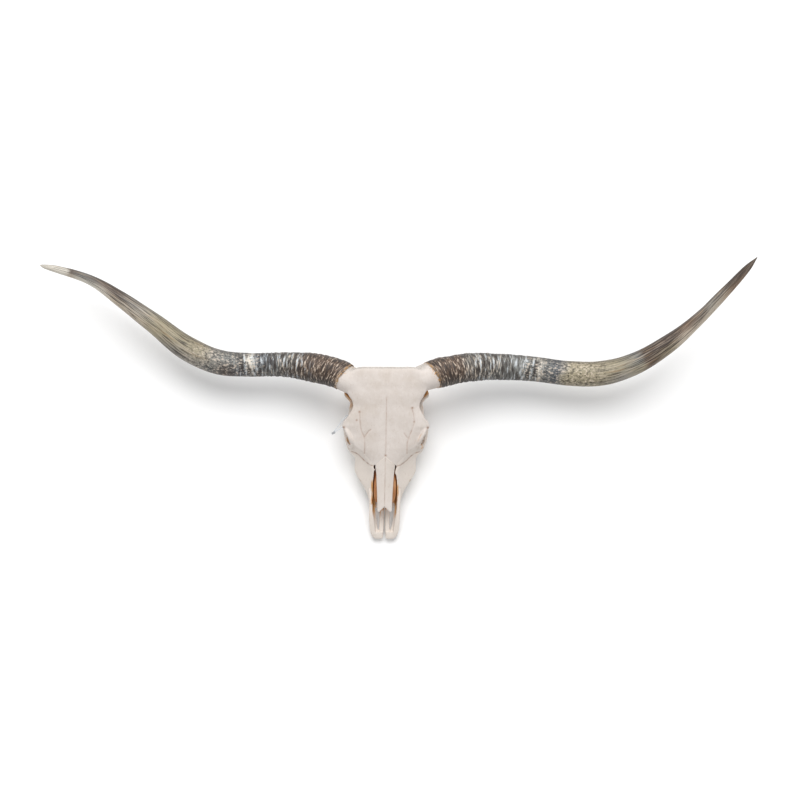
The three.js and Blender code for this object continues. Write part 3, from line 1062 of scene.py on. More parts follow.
LEFT_HORN = HornLine(Side.LEFT, (
    (62, -48, 138, 34), (98, -32, 138, 38.5), (142, -16.5, 136, 40), (170, -9.5, 129, 39.2),
    (229, 1, 112, 38), (316, 3, 98, 35), (403, -2, 92, 33.5), (490, -11, 91, 33.5), (576, -10, 96, 33.5),
    (660, 14, 108, 30), (743, 63, 129, 25.5), (825, 133, 156, 17.5), (904, 219, 186, 13.5),
    (950, 272, 204, 9.5), (976, 303, 214, 1.2),
), (132.3, -15.2, 176), (0.81, 0.48, -0.33), 999.0, 3.7)
RIGHT_HORN = HornLine(Side.RIGHT, (
    (-50, -53, 138, 34), (-84, -44, 138, 38), (-111, -33, 137, 40), (-134, -22.5, 133, 39.6),
    (-196, -8.5, 113, 39), (-284, -1, 98, 33), (-371, -3, 91, 32), (-457, 3, 89, 33.5), (-544, 40, 94, 33),
    (-631, 104, 103, 27), (-717, 165, 114, 21), (-802, 217, 124, 13.5), (-888, 243, 131, 9.8),
    (-922, 250, 134, 6), (-936, 254, 135, 1.2),
), (-128, -33, 176), (-0.8, 0.54, -0.26), 899.0, 21.3)


BROW_BORES = 7  # the first holes in the skull's list open on the brow
# The seam between the brow and the face on the left side, in plan.
FACE_SEAM: Plan = ((28, -271), (40, -267.5), (48, -262.5), (58, -254.5), (69, -243), (80, -235), (92, -231))


@dataclass
class SkullMass:
    """The skull before it is parted into bones, without nasals, premaxillae and teeth."""

    rows: int = 200  # sections along the loft
    columns: int = 140  # corners round it
    voxel: float = 1.45  # edge of the cells in which the lofts are melted together
    lean: float = 0.2  # the nape leans forward by this slope towards the floor
    palate: float = 38.0  # height of the palate's upper side, the floor of the nose
    peg_inset: float = 2.0  # the sheath is this much thicker than the peg in it
    peg_end: float = 5.4  # the peg ends this far inside the sheath's rim
    # The eye socket's funnel from its mouth inwards: middle, and half sizes along Y and Z.
    socket: tuple = (
        (130, -182, 107, 35, 32), (98, -182, 107, 31, 28), (66, -176, 102, 22, 21), (40, -166, 96, 7, 7),
    )
    # The cheek's arch from the face to the ear, and its half sizes sideways and upwards.
    arch: tuple = (
        (82, -235, 82), (93, -226, 79), (102, -210, 75), (108.5, -190, 72), (108.5, -168, 75),
        (101, -148, 80), (97.6, -135, 82), (94, -116, 84), (92, -104, 85), (94, -95, 85), (101, -86, 86),
        (107.5, -79, 86), (106, -70, 86), (92, -62, 84),
    )
    arch_radii: tuple = (
        (8, 14), (8, 12), (6, 10), (5, 8), (5, 8), (6, 8), (6, 8), (6, 8), (6.5, 8), (6.5, 8), (6, 8),
        (6.5, 8), (7, 8), (9, 9),
    )
    # The eye ring's X and its half width, every 45 degrees from the rear over the top.
    orbit: tuple = (
        (102, 5), (109.5, 6), (101, 6), (89, 6), (94, 5), (105.8, 2.8), (111.5, 2.8), (112, 4),
    )
    # Walls of the nose in plan. A bridge of bone parts each slit from the small opening behind it.
    nose_left: tuple = (
        (13.0, -259.0), (24.0, -267.6), (30.2, -267.8), (30.4, -274.5), (28.2, -278), (26.8, -289),
        (30.2, -294), (32.4, -311), (32.4, -330), (32.5, -366), (32, -400),
    )
    nose_right: tuple = (
        (-13.0, -259.0), (-24.0, -267.1), (-30.4, -267.3), (-30.6, -276.5), (-27.4, -279), (-27.4, -281),
        (-30.2, -284), (-30.6, -293), (-32.4, -311), (-32.4, -330), (-32.5, -366), (-32, -400),
    )
    # Grooves for the brow's veins, then for the seams: depth, half width and the line in plan.
    grooves: tuple = (
        (1.5, 1.7, (
            (-71, -128), (-70, -142), (-68, -163), (-64.5, -177), (-57.5, -192), (-56, -212), (-56, -236),
        )),
        (1.3, 1.6, ((-57.5, -192), (-49.5, -180), (-40, -171))),
        (1.2, 1.6, ((70, -118), (74, -130), (76, -153), (70, -172), (63, -190), (58, -208), (58, -236))),
        (0.9, 1.5, ((49, -180), (58.5, -194))),
        (0.35, 1.4, ((1.2, -83), (1, -145), (1, -213), (0.7, -243))),
        (0.8, 1.3, tuple((-x, y) for x, y in FACE_SEAM)),
        (0.8, 1.3, FACE_SEAM),
    )
    # Small holes, those of the brow first: place, direction, radius and depth.
    bores: tuple = (
        ((-71, -127, 170), (0, 0.25, -1), 2.1, 24), ((-78.4, -148.5, 165), (0, 0.2, -1), 1.6, 21),
        ((70, -117, 175), (0, 0.25, -1), 2.2, 24), ((75.5, -152, 163), (0, 0.2, -1), 1.3, 20),
        ((0.7, -243, 140), (0, 0.3, -1), 2.0, 13),
        ((112.6, -166, 148), (0, 0, -1), 2.3, 24), ((-112.6, -166, 148), (0, 0, -1), 2.3, 24),
        ((74, -312, 56), (-1, 0.35, 0.1), 4.0, 24), ((-74, -312, 56), (1, 0.35, 0.1), 4.0, 24),
    )

    def ring_corners(self, y: float, row: np.ndarray) -> np.ndarray:
        """Corners of the skull's outline at one Y.

        Args:
            y: The place along the skull.
            row: The station's numbers there.

        Returns:
            Twenty points.
        """
        crest, bx, bz, sx, sz, lx, lz, under = row
        drop = crest - bz
        bulge = 5 * math.exp(-(((y + 262) / 26) ** 2))
        half = [
            (0.35 * bx, crest - 0.08 * drop), (0.68 * bx, crest - 0.32 * drop),
            (0.9 * bx, crest - 0.68 * drop), (bx, bz), (0.62 * bx + 0.38 * sx, 0.5 * bz + 0.5 * sz), (sx, sz),
            (0.5 * (sx + lx) + bulge, 0.5 * (sz + lz)), (lx, lz), (0.8 * lx, 0.25 * lz + 0.75 * under),
        ]
        ring = [(0, crest), *half, (0, under), *((-x, z) for x, z in reversed(half))]
        share = min(1.0, max(0.0, (y + 110) / 70))
        return np.array([(x, y - self.lean * share * (175 - z), z) for x, z in ring])

    def body(self) -> Object:
        """Lofts the skull's outline.

        Returns:
            The loft through the stations.
        """
        rows = self.rows
        ys = np.linspace(OUTLINE[0].y, OUTLINE[-1].y, rows + 1)
        table = curve_through([-s.y for s in OUTLINE], [s.row() for s in OUTLINE], -ys)
        corners = [self.ring_corners(y, row) for y, row in zip(ys, table)]

        def surface(u: np.ndarray, v: np.ndarray) -> np.ndarray:
            """Places the loft's grid points.

            Args:
                u: Share of the way along it, for each point.
                v: Share of the way round it.

            Returns:
                One point a row.
            """
            out = np.empty((len(u), 3))
            which = np.rint(u * rows).astype(int)
            for i in range(rows + 1):
                here = which == i
                out[here] = closed_curve(corners[i], v[here])
            return out

        return rolled("body", rows, self.columns, surface)

    def orbit_ring(self) -> Object:
        """The rim of the eye socket, a ring of oval section."""

        def surface(u: np.ndarray, v: np.ndarray) -> np.ndarray:
            """Places the ring's grid points.

            Args:
                u: Share of the way along it, for each point.
                v: Share of the way round it.

            Returns:
                One point a row.
            """
            c, d = np.cos(u * 2 * math.pi), np.sin(u * 2 * math.pi)
            x, wide = closed_curve(np.asarray(self.orbit, float), u).T
            reach = 4.7 * np.cos(v * 2 * math.pi)
            x = x + 0.1 * reach + wide * np.sin(v * 2 * math.pi)
            return np.stack([x, -182 + (36 + reach) * c, 107 + (33 + reach) * d], axis=1)

        return rolled("orbit_ring", 120, 28, surface)

    def side_parts(self) -> list[Object]:
        """Arch, eye ring, jaw joint, ear and the base of the skull on the left side."""
        return [
            bar(self.arch, self.arch_radii, 150),
            bar([(104, -149, 130), (102, -147, 105), (99, -146, 82)], [(7, 6), (6, 5), (5, 7)]),
            ball((76, -94, 73), (23, 20, 13)),
            bar([(60, -66, 84), (84, -62, 78), (99, -58, 76)], [(12, 14), (10, 11), (8.5, 8.5)]),
            post([(45, -82, 66, 14, 20), (44, -82, 46, 13, 19), (43, -84, 28, 9, 12), (43, -86, 20, 4, 5)]),
            post([(66, -46, 84, 16, 15), (62, -46, 52, 12, 13), (57, -47, 18, 7, 10), (55, -48, -6, 5, 8)]),
            ball((28, -22, 67), (17, 20, 20)),
            post([(22, -168, 62, 3, 24), (24, -172, 44, 3, 24), (26, -180, 27, 3, 12)]),
            self.orbit_ring(),
        ]

    def peg(self, horn: HornLine) -> Object:
        """The bony peg that carries a sheath, cut where it ends in the sheath's socket.

        Args:
            horn: The horn that it belongs to.

        Returns:
            The peg.
        """
        line = np.asarray(horn.line[:5], float)
        keys = horn.keys()[:5]
        normal, offset = horn.plane()

        def surface(u: np.ndarray, v: np.ndarray) -> np.ndarray:
            """Places the peg's grid points.

            Args:
                u: Share of the way along it, for each point.
                v: Share of the way round it.

            Returns:
                One point a row.
            """
            at = curve_through(keys, line, u * keys[-1])
            along = curve_through(keys, line, u * keys[-1] + 0.1)[:, :3] - at[:, :3]
            along[-1] = along[-2]
            along /= np.maximum(np.linalg.norm(along, axis=1), 1e-9)[:, None]
            radius = at[:, 3] - self.peg_inset
            return oval(at[:, :3], along, v * 2 * math.pi, radius, FLATNESS * radius)

        peg = rolled("peg", 60, 64, surface)
        bm = bmesh.new()
        bm.from_mesh(peg.data)
        bmesh.ops.bisect_plane(bm, geom=[*bm.verts, *bm.edges, *bm.faces], plane_no=normal,
                               plane_co=normal * (offset + self.peg_end), clear_outer=True)
        bmesh.ops.holes_fill(bm, edges=[e for e in bm.edges if e.is_boundary])
        bm.to_mesh(peg.data)
        bm.free()
        return peg

    def eye_socket(self) -> Object:
        """Shapes what is hollow behind the eye ring.

        Returns:
            The funnel.
        """
        table = np.asarray(self.socket, float)

        def surface(u: np.ndarray, v: np.ndarray) -> np.ndarray:
            """Places the funnel's grid points.

            Args:
                u: Share of the way along it, for each point.
                v: Share of the way round it.

            Returns:
                One point a row.
            """
            at = curve_through(np.arange(4), table, u * 3)
            turn = v * 2 * math.pi
            rim = np.stack([0 * turn, at[:, 3] * np.cos(turn), at[:, 4] * np.sin(turn)], axis=1)
            return at[:, :3] + rim

        return rolled("socket", 40, 48, surface)

    def drill(self, place: Sequence[float], way: Sequence[float], radius: float, depth: float) -> Object:
        """A round cutter with a blunt point.

        Args:
            place: Where it starts, outside the bone.
            way: Its direction.
            radius: Its radius.
            depth: Its length.

        Returns:
            The cutter.
        """
        bm = bmesh.new()
        bmesh.ops.create_cone(bm, cap_ends=True, segments=20, radius1=radius * 0.6, radius2=radius * 1.1,
                              depth=depth)
        bmesh.ops.translate(bm, vec=(0, 0, -depth / 2), verts=bm.verts)
        turn = Vector((0, 0, -1)).rotation_difference(Vector(way)).to_matrix()
        bmesh.ops.rotate(bm, cent=(0, 0, 0), matrix=turn, verts=bm.verts)
        bmesh.ops.translate(bm, vec=place, verts=bm.verts)
        return object_from(bm, "drill")

    def hollows(self) -> list[Object]:
        """Collects all that is cut away.

        Returns:
            Sockets, basins, rear nostrils, neck hole, nose and small holes.
        """
        pairs = [
            self.eye_socket(), ball((26, -126, 42), (22, 34, 22)),
            post([(11, -176, 40, 9, 42), (11, -186, 70, 7, 26)]),
        ]
        neck = bar([(0, 60, 79), (0, -82, 79)], [(19, 19), (16, 16)])
        cuts = [*pairs, *(mirror_of(piece) for piece in pairs), neck]
        cuts.append(prism([(0, -247), *self.nose_left, *reversed(self.nose_right)], self.palate, 240))
        return cuts + [self.drill(*bore) for bore in self.bores]

    def sculpt(self, mass: Object) -> None:
        """Adds grooves, pits and the slow swells of bone.

        Args:
            mass: The skull.
        """
        co, facing = places(mass), facings(mass)
        top = ramp(facing[:, 2], 0.25, 0.7)
        lift = 0.5 * wavering(co, 42) + 0.22 * wavering(co, 11, 7.0) + 0.12 * wavering(co, 4.5, 3.0)
        for depth, half, line in self.grooves:
            strength = 0.75 + 0.5 * wavering(co * (1, 1, 0), 9, 4.0)
            lift -= top * depth * strength * np.exp(-((away_from(co, line) / half) ** 2))
        # Pitted bone round the roots of the sheaths.
        pits = ramp(wavering(co, 3.6, 11.0), 0.22, 0.5)
        for horn in (LEFT_HORN, RIGHT_HORN):
            normal, offset = horn.plane()
            lift -= 0.9 * pits * ramp(co @ normal - offset, -24, -2)
        move_points(mass, co + facing * lift[:, None])

    def build(self) -> Object:
        """Builds the skull.

        Returns:
            One closed mesh in mm.
        """
        left = self.side_parts()
        right = [mirror_of(piece) for piece in left]
        mass = fused("mass", [self.body(), *left, *right, self.peg(LEFT_HORN), self.peg(RIGHT_HORN)])
        modified(mass, "REMESH", mode="VOXEL", voxel_size=self.voxel * 1.2)
        relaxed(mass, 10)
        co = places(mass)
        roots = ramp(np.abs(co[:, 0]), 62, 84) * ramp(np.abs(co[:, 0]), 150, 120) * ramp(co[:, 2], 104, 128)
        filleted(mass, roots * ramp(co[:, 1], -112, -92), 90)
        for cut in self.hollows():
            combined(mass, cut, "DIFFERENCE")
        modified(mass, "REMESH", mode="VOXEL", voxel_size=self.voxel)
        relaxed(mass, 5)
        largest_shell(mass)
        self.sculpt(mass)
        combined(mass, block((-400, -500, -60), (400, 60, 0)), "DIFFERENCE")
        return mass


# ---------------------------------------------------------------- bones of the face
@dataclass
class Nasals:
    """The two nasal bones: Y, outer X, and top Z at the midline and at the outer edge."""

    stations: tuple = (
        (-243, 2.5, 132, 132), (-256, 15, 128, 127), (-268, 25.8, 124, 120.5), (-281, 25.3, 119.5, 114),
        (-293, 23.6, 115.5, 109.5), (-308, 23, 110.5, 105), (-335, 21.5, 102, 97), (-366, 20.3, 93, 88.5),
        (-384, 19.5, 87, 83), (-391, 19, 85, 82), (-395, 17.5, 84, 82.5),
    )
    thick: float = 5.0
    # The front end is forked: the two bones part from this Y, over this length, to this far off the midline.
    fork_start: float = -380.0
    fork_length: float = 14.0
    fork_reach: float = 13.5
    # Faint grooves run along each bone at these distances from the midline.
    lines: tuple = (7.5, 13.5, 21)

    def half(self, side: Side, grow: float = 0.0) -> Object:
        """One nasal bone.

        Args:
            side: Which one.
            grow: Clearance added all round, for the bed that it lies in.

        Returns:
            The bone in mm.
        """
        table = np.asarray(self.stations, float)
        keys = -table[:, 0]
        keys = keys - keys[0]
        soft = 0.0 if grow else 1.0

        def surface(u: np.ndarray, v: np.ndarray) -> np.ndarray:
            """Places the bone's grid points.

            Args:
                u: Share of the way along it, for each point.
                v: Share of the way round it.

            Returns:
                One point a row.
            """
            at = curve_through(keys, table, u * keys[-1])
            y, x, mid, edge = at.T
            y = y + grow * (1 - 2 * u)
            notch = self.fork_reach * np.clip((self.fork_start - y) / self.fork_length, 0, 1) ** 1.15
            inner = KNIT / 2 + notch - (KNIT if grow else 0)
            outer = np.maximum(x + grow, inner + 0.6)
            # The section is a flat band with round edges: v runs over the top and back under it.
            turn = v * 2 * math.pi
            across = squared(np.cos(turn), 0.3)
            lift = squared(np.sin(turn), 0.2)
            reach = inner + (outer - inner) * (1 - across) / 2
            slim = np.minimum(1.0, 0.35 + (1 - u) * 22)
            half_thick = self.thick / 2 * (1 if grow else slim) + grow
            share = np.clip(reach / np.maximum(x, 1), 0, 1)
            over = np.clip((reach - inner) / np.maximum(outer - inner, 1), 0, 1)
            arch = soft * 0.8 * ramp(u, 0.1, 0.3) * np.sin(over * math.pi)
            top = mid + (edge - mid) * share ** 2 + arch
            z = top - self.thick / 2 + lift * half_thick
            return np.stack([side.value * reach, y, z], axis=1)

        bone = rolled("nasal", 150, 56, surface)
        if not grow:
            co, facing = places(bone), facings(bone)
            fine = 0.25 * wavering(co / (1, 6, 1), 3.0, 5.0) + 0.3 * wavering(co, 25, 2.0)
            lines = sum(np.exp(-(((np.abs(co[:, 0]) - x) / 0.9) ** 2)) for x in self.lines)
            fine -= 0.35 * lines * ramp(facing[:, 2], 0.4, 0.8)
            move_points(bone, co + facing * fine[:, None])
        return bone


@dataclass
class Premaxillae:
    """The two bones at the muzzle: Y, inner X, outer X, bottom Z and top Z of their four parts."""

    wing: tuple = (
        (-330, 35, 43.5, 68, 75), (-346, 33.5, 43, 57, 72), (-366, 32.5, 42.5, 44, 67.5),
        (-381, 32, 42.4, 36, 62), (-400, 30.5, 42.5, 28, 55), (-427, 26, 41.6, 19, 43),
        (-448, 24, 39.5, 13, 32), (-461, 20, 35, 10, 25),
    )
    tip: tuple = (
        (-453, 3.2, 38.5, 12, 27), (-463, 3.2, 35, 9.5, 23), (-469.5, 3.8, 29, 9.5, 19),
        (-472.5, 7, 22.5, 10.5, 16),
    )
    inner: tuple = (
        (-362, 2, 10, 24, 31), (-394, 1.8, 13, 20, 28), (-446, 2, 14.5, 14, 24), (-461, 3.4, 16, 12, 22),
    )
    ledge: tuple = (
        (-376, 27, 35, 32, 41), (-400, 24, 33, 24, 35), (-430, 20.5, 30, 15, 26), (-460, 14, 28, 11, 22),
    )

    def slab(self, stations: Sequence, side: Side, grow: float) -> Object:
        """A long slab of rounded section through the stations.

        Args:
            stations: The part's table.
            side: Which bone.
            grow: Clearance added all round.

        Returns:
            The slab.
        """
        table = np.asarray(stations, float)
        keys = table[0, 0] - table[:, 0]

        def surface(u: np.ndarray, v: np.ndarray) -> np.ndarray:
            """Places the slab's grid points.

            Args:
                u: Share of the way along it, for each point.
                v: Share of the way round it.

            Returns:
                One point a row.
            """
            at = curve_through(keys, table, u * keys[-1])
            y, x0, x1, z0, z1 = at.T
            turn = v * 2 * math.pi
            across = squared(np.cos(turn), 0.55)
            up = squared(np.sin(turn), 0.55)
            x = (x0 + x1) / 2 + across * ((x1 - x0) / 2 + grow)
            z = (z0 + z1) / 2 + up * ((z1 - z0) / 2 + grow)
            return np.stack([side.value * x, y + grow * (1 - 2 * u), z], axis=1)

        return rolled("slab", 90, 48, surface)

    def half(self, side: Side, grow: float = 0.0, voxel: float = 1.1) -> Object:
        """One premaxilla.

        Args:
            side: Which one.
            grow: Clearance added all round, for the bed that it lies in.
            voxel: Fineness of the finished surface.

        Returns:
            The bone in mm.
        """
        slabs = [self.slab(table, side, grow) for table in (self.wing, self.tip, self.inner, self.ledge)]
        bone = fused("premaxilla", slabs)
        modified(bone, "REMESH", mode="VOXEL", voxel_size=voxel)
        if grow:
            return bone
        relaxed(bone, 12)
        co, facing = places(bone), facings(bone)
        lift = 0.35 * wavering(co, 22, 1.0) + 0.2 * wavering(co, 5, 2.0) - 0.15
        inner = side.value * co[:, 0] < 3.0
        lift[inner] = np.minimum(lift[inner], 0.0)
        move_points(bone, co + facing * lift[:, None])
        return bone


@dataclass(frozen=True)
class CheekTooth:
    """One upper cheek tooth: middle X and Y, width, length and number of lobes."""

    x: float
    y: float
    width: float
    length: float
    lobes: int
    top: float = 36.0  # height at which the root ends
    crown_share: float = 0.55  # this share of the grid's rows runs down the crown, the rest over the face

    def build(self, side: Side, grow: float = 0.0) -> Object:
        """Builds the tooth.

        Args:
            side: Which row it stands in.
            grow: Clearance added all round, for the socket that it stands in.

        Returns:
            The tooth in mm.
        """
        lean = math.radians(3 if self.lobes == 2 else -14)
        centres = (-0.25, 0.25) if self.lobes == 2 else (0.0,)

        def surface(u: np.ndarray, v: np.ndarray) -> np.ndarray:
            """Places the tooth's grid points.

            Args:
                u: Share of the way down the crown, then inwards over the grinding face.
                v: Share of the way round it.

            Returns:
                One point a row.
            """
            # The outline is a rounded square with a waist on the inner side and three ribs on the outer one.
            turn = v * 2 * math.pi
            c, s = np.cos(turn), np.sin(turn)
            square = (np.abs(c) ** 3.4 + np.abs(s) ** 3.4) ** (-1 / 3.4)
            across, along = c * square, s * square
            waist = 0.17 * np.exp(-((along / 0.2) ** 2)) if self.lobes == 2 else 0.0
            styles = sum(np.exp(-(((along - at) / 0.12) ** 2)) for at in (-0.86, 0.0, 0.86))
            wide = 1 - waist * (c < 0) + 0.07 * styles * (c > 0) - 0.05
            crown = np.clip(u / self.crown_share, 0, 1)
            inward = np.clip((u - self.crown_share) / (1 - self.crown_share), 0, 1)
            taper = 1.0 - 0.08 * crown
            px = across * wide * (self.width / 2 + grow) * taper * (1 - inward)
            py = along * (self.length / 2 + grow) * taper * (1 - inward)
            z = (self.top + grow) * (1 - crown)
            # Enamel stands up along the rim and round the middle of each lobe.
            wide_ring, long_ring = 0.27 * self.width, 0.17 * self.length
            near = np.minimum.reduce([
                np.abs(np.hypot(px / wide_ring, (py - at * self.length) / long_ring) - 1) * 3.0
                for at in centres
            ])
            ridge = np.minimum(near, inward * 6.0)
            z = z + np.where(inward > 0, 1.6 * (1 - np.exp(-(ridge ** 2))), 0.0) * (0 if grow else 1)
            x = side.value * (self.x + px * math.cos(lean) - py * math.sin(lean))
            return np.stack([x, self.y + px * math.sin(lean) + py * math.cos(lean), z], axis=1)

        tooth = rolled("tooth", 60, 72, surface)
        if not grow:
            depth = places(tooth)[:, 2]
            write_layer(tooth, "pit", np.clip(depth / 1.2, 0, 1) * (depth < 1.7))
        return tooth


TOOTH_ROW = (
    CheekTooth(60, -217, 24, 28.6, 2), CheekTooth(61, -246, 25, 27.4, 2), CheekTooth(58, -272.5, 23, 24, 2),
    CheekTooth(54, -293, 20, 15.4, 1), CheekTooth(49, -310, 18, 15.4, 1), CheekTooth(43, -326, 15, 13.6, 1),
)


@dataclass
class NoseBones:
    """What shows through the slits beside the nasals: a scroll bone on each side and the septum."""

    scroll_rear: float = -268.0
    scroll_length: float = 102.0
    scroll_middle: float = 21.8  # distance of its middle line from the midline
    scroll_height: float = 92.0  # height of that line at the rear end
    scroll_drop: float = 26.0  # the front end lies this much lower
    scroll_half: tuple = (9.8, 12.0)  # half sizes sideways and upwards
    septum_rear: float = -262.0
    septum_length: float = 116.0

    def scroll(self, side: Side) -> Object:
        """The lower scroll bone of one side, a long roll with a fold along it.

        Args:
            side: Which one.

        Returns:
            The bone in mm.
        """

        def surface(u: np.ndarray, v: np.ndarray) -> np.ndarray:
            """Places the roll's grid points.

            Args:
                u: Share of the way along it, for each point.
                v: Share of the way round it.

            Returns:
                One point a row.
            """
            turn = v * 2 * math.pi
            swell = np.sin(np.clip(u, 0, 1) * math.pi) ** 0.45
            fold = 1 + 0.16 * np.cos(3 * turn + 4 * u) + 0.07 * np.cos(7 * turn)
            across = squared(np.cos(turn), 0.6)
            lift = squared(np.sin(turn), 0.6)
            x = self.scroll_middle + self.scroll_half[0] * swell * fold * across
            z = self.scroll_height - self.scroll_drop * u + self.scroll_half[1] * swell * fold * lift
            return np.stack([side.value * x, self.scroll_rear - self.scroll_length * u, z], axis=1)

        return rolled("scroll", 90, 48, surface)

    def septum(self) -> Object:
        """The upright plate between the two halves of the nose.

        Returns:
            The plate in mm.
        """

        def surface(u: np.ndarray, v: np.ndarray) -> np.ndarray:
            """Places the plate's grid points.

            Args:
                u: Share of the way along it, for each point.
                v: Share of the way round it.

            Returns:
                One point a row.
            """
            turn = v * 2 * math.pi
            y = self.septum_rear - self.septum_length * u
            # Its roof slopes down under the nasals, 6 mm below them.
            roof = 118 - 0.29 * (self.septum_rear - y) - 6
            middle, tall = (roof + 39) / 2, (roof - 37) / 2 * (1 - 0.35 * u ** 3)
            x = 1.3 * np.cos(turn) + 0.8 * np.sin(u * 9)
            return np.stack([x, y - 4 * np.sin(turn) * u, middle + tall * np.sin(turn)], axis=1)

        return rolled("septum", 60, 40, surface)


# ---------------------------------------------------------------- parting the skull
# Outlines in plan of the spaces that the left bones are cut from.
FRONTAL_PLAN: Plan = (
    (KNIT / 2, 30), (260, 30), (260, -196), (112, -196), (72, -222), (27, -268), (KNIT / 2, -242),
)
CHEEK_PLAN: Plan = (
    (24, -276), (31, -271), *FACE_SEAM[1:], (140, -231), (140, -119), (71, -119), (71, -214), (52, -230),
    (24, -252),
)
MAXILLA_PLAN: Plan = ((KNIT / 2, -199), (160, -199), (160, -420), (KNIT / 2, -420))


@dataclass
class Parting:
    """Cuts the skull along its sutures, which waver by about a millimetre."""

    waver: float = 0.9  # how far a suture wanders to each side
    wave: float = 7.0  # distance from one bend of it to the next
    stretch: float = 2.5  # length of its straight stretches
    frontal_slope: float = 0.18  # slope of the frontal bones' underside
    frontal_depth: float = 144.0  # height of that underside at Y 0
    # Two corners of the box whose content, the bony horn core, belongs to the frontal bone.
    core_low: tuple = (84.0, -75.0, 84.0)
    core_high: tuple = (255.0, 40.0, 220.0)

    def outline(self, plan: Plan, side: Side, grow: float) -> list[tuple[float, float]]:
        """A plan with each edge moved out, split into short stretches and made to waver.

        Args:
            plan: The left side's corners.
            side: Which side the outline is for.
            grow: Distance that the edges move out.

        Returns:
            The outline's points.
        """
        points = np.asarray(plan, float)
        area = sum(a[0] * b[1] - b[0] * a[1] for a, b in zip(points, np.roll(points, -1, axis=0)))
        out = grow if area > 0 else -grow
        before = points - np.roll(points, 1, axis=0)
        before /= np.linalg.norm(before, axis=1)[:, None]
        after = np.roll(before, -1, axis=0)
        normal = np.stack([before[:, 1] + after[:, 1], -before[:, 0] - after[:, 0]], axis=1)
        normal /= np.linalg.norm(normal, axis=1)[:, None]
        reach = out / (normal[:, 0] * after[:, 1] - normal[:, 1] * after[:, 0])
        moved = points + normal * reach[:, None]
        dense = []
        for a, b in zip(moved, np.roll(moved, -1, axis=0)):
            steps = max(1, int(np.linalg.norm(b - a) / self.stretch))
            dense += [a + (b - a) * i / steps for i in range(steps)]
        flat = np.array([(side.value * x, y, 0.0) for x, y in dense])
        shift = np.stack([wavering(flat, self.wave, 1.5), wavering(flat, self.wave, 9.5)], axis=1)
        return [tuple(p) for p in (flat[:, :2] + self.waver * shift)]

    def frontal(self, side: Side, grow: float) -> Object:
        """The space of one frontal bone and its bony horn core.

        Args:
            side: Which bone.
            grow: Clearance added all round.

        Returns:
            The space.
        """
        sheet = prism(self.outline(FRONTAL_PLAN, side, grow), 60, 260)
        # A tilted slab clears away what lies under the bone: its top is 101.6 mm straight above its middle.
        under = block((-350, -350, -100), (350, 350, 100))
        tilt = Matrix.Rotation(math.atan(self.frontal_slope), 4, "X")
        under.data.transform(Matrix.Translation((0, 0, self.frontal_depth - 101.6 - grow)) @ tilt)
        combined(sheet, under, "DIFFERENCE")
        x, y, z = self.core_low
        low, high = sorted((side.value * (x - grow), side.value * self.core_high[0]))
        return combined(sheet, block((low, y - grow, z - grow), (high, *self.core_high[1:])), "UNION")

    def cheek(self, side: Side, grow: float) -> Object:
        """The space of one lacrimal and cheek bone."""
        return prism(self.outline(CHEEK_PLAN, side, grow), 60 - grow, 160)

    def maxilla(self, side: Side, grow: float) -> Object:
        """The space of one upper jaw bone."""
        return prism(self.outline(MAXILLA_PLAN, side, grow), -10, 160)

    def part(self, mass: Object) -> dict[str, Object]:
        """Parts the skull.

        Args:
            mass: The whole skull, which becomes the braincase.

        Returns:
            The bones by node name.
        """
        bones = {}
        for name, region in (("frontal", self.frontal), ("cheek", self.cheek), ("maxilla", self.maxilla)):
            for side in Side:
                bone = combined(copy_of(mass, name), region(side, 0.0), "INTERSECT")
                bones[f"{name}_{side.label}"] = largest_shell(bone)
                combined(mass, region(side, KNIT), "DIFFERENCE")
        bones["braincase"] = largest_shell(mass)
        return bones


# Brown lines on the upper side: strength and the line in plan.
SEAMS: tuple[tuple[float, Plan], ...] = (
    (0.5, ((0.8, -84), (1, -145), (1, -213), (0.5, -243))),
    (0.9, ((-27, -272), *((-x, y) for x, y in FACE_SEAM[1:]))),
    (0.9, ((27, -272), *FACE_SEAM[1:])),
    (0.2, ((0, -242), (0, -375))),
    *((0.5, line) for _, _, line in SkullMass.grooves[:4]),
)


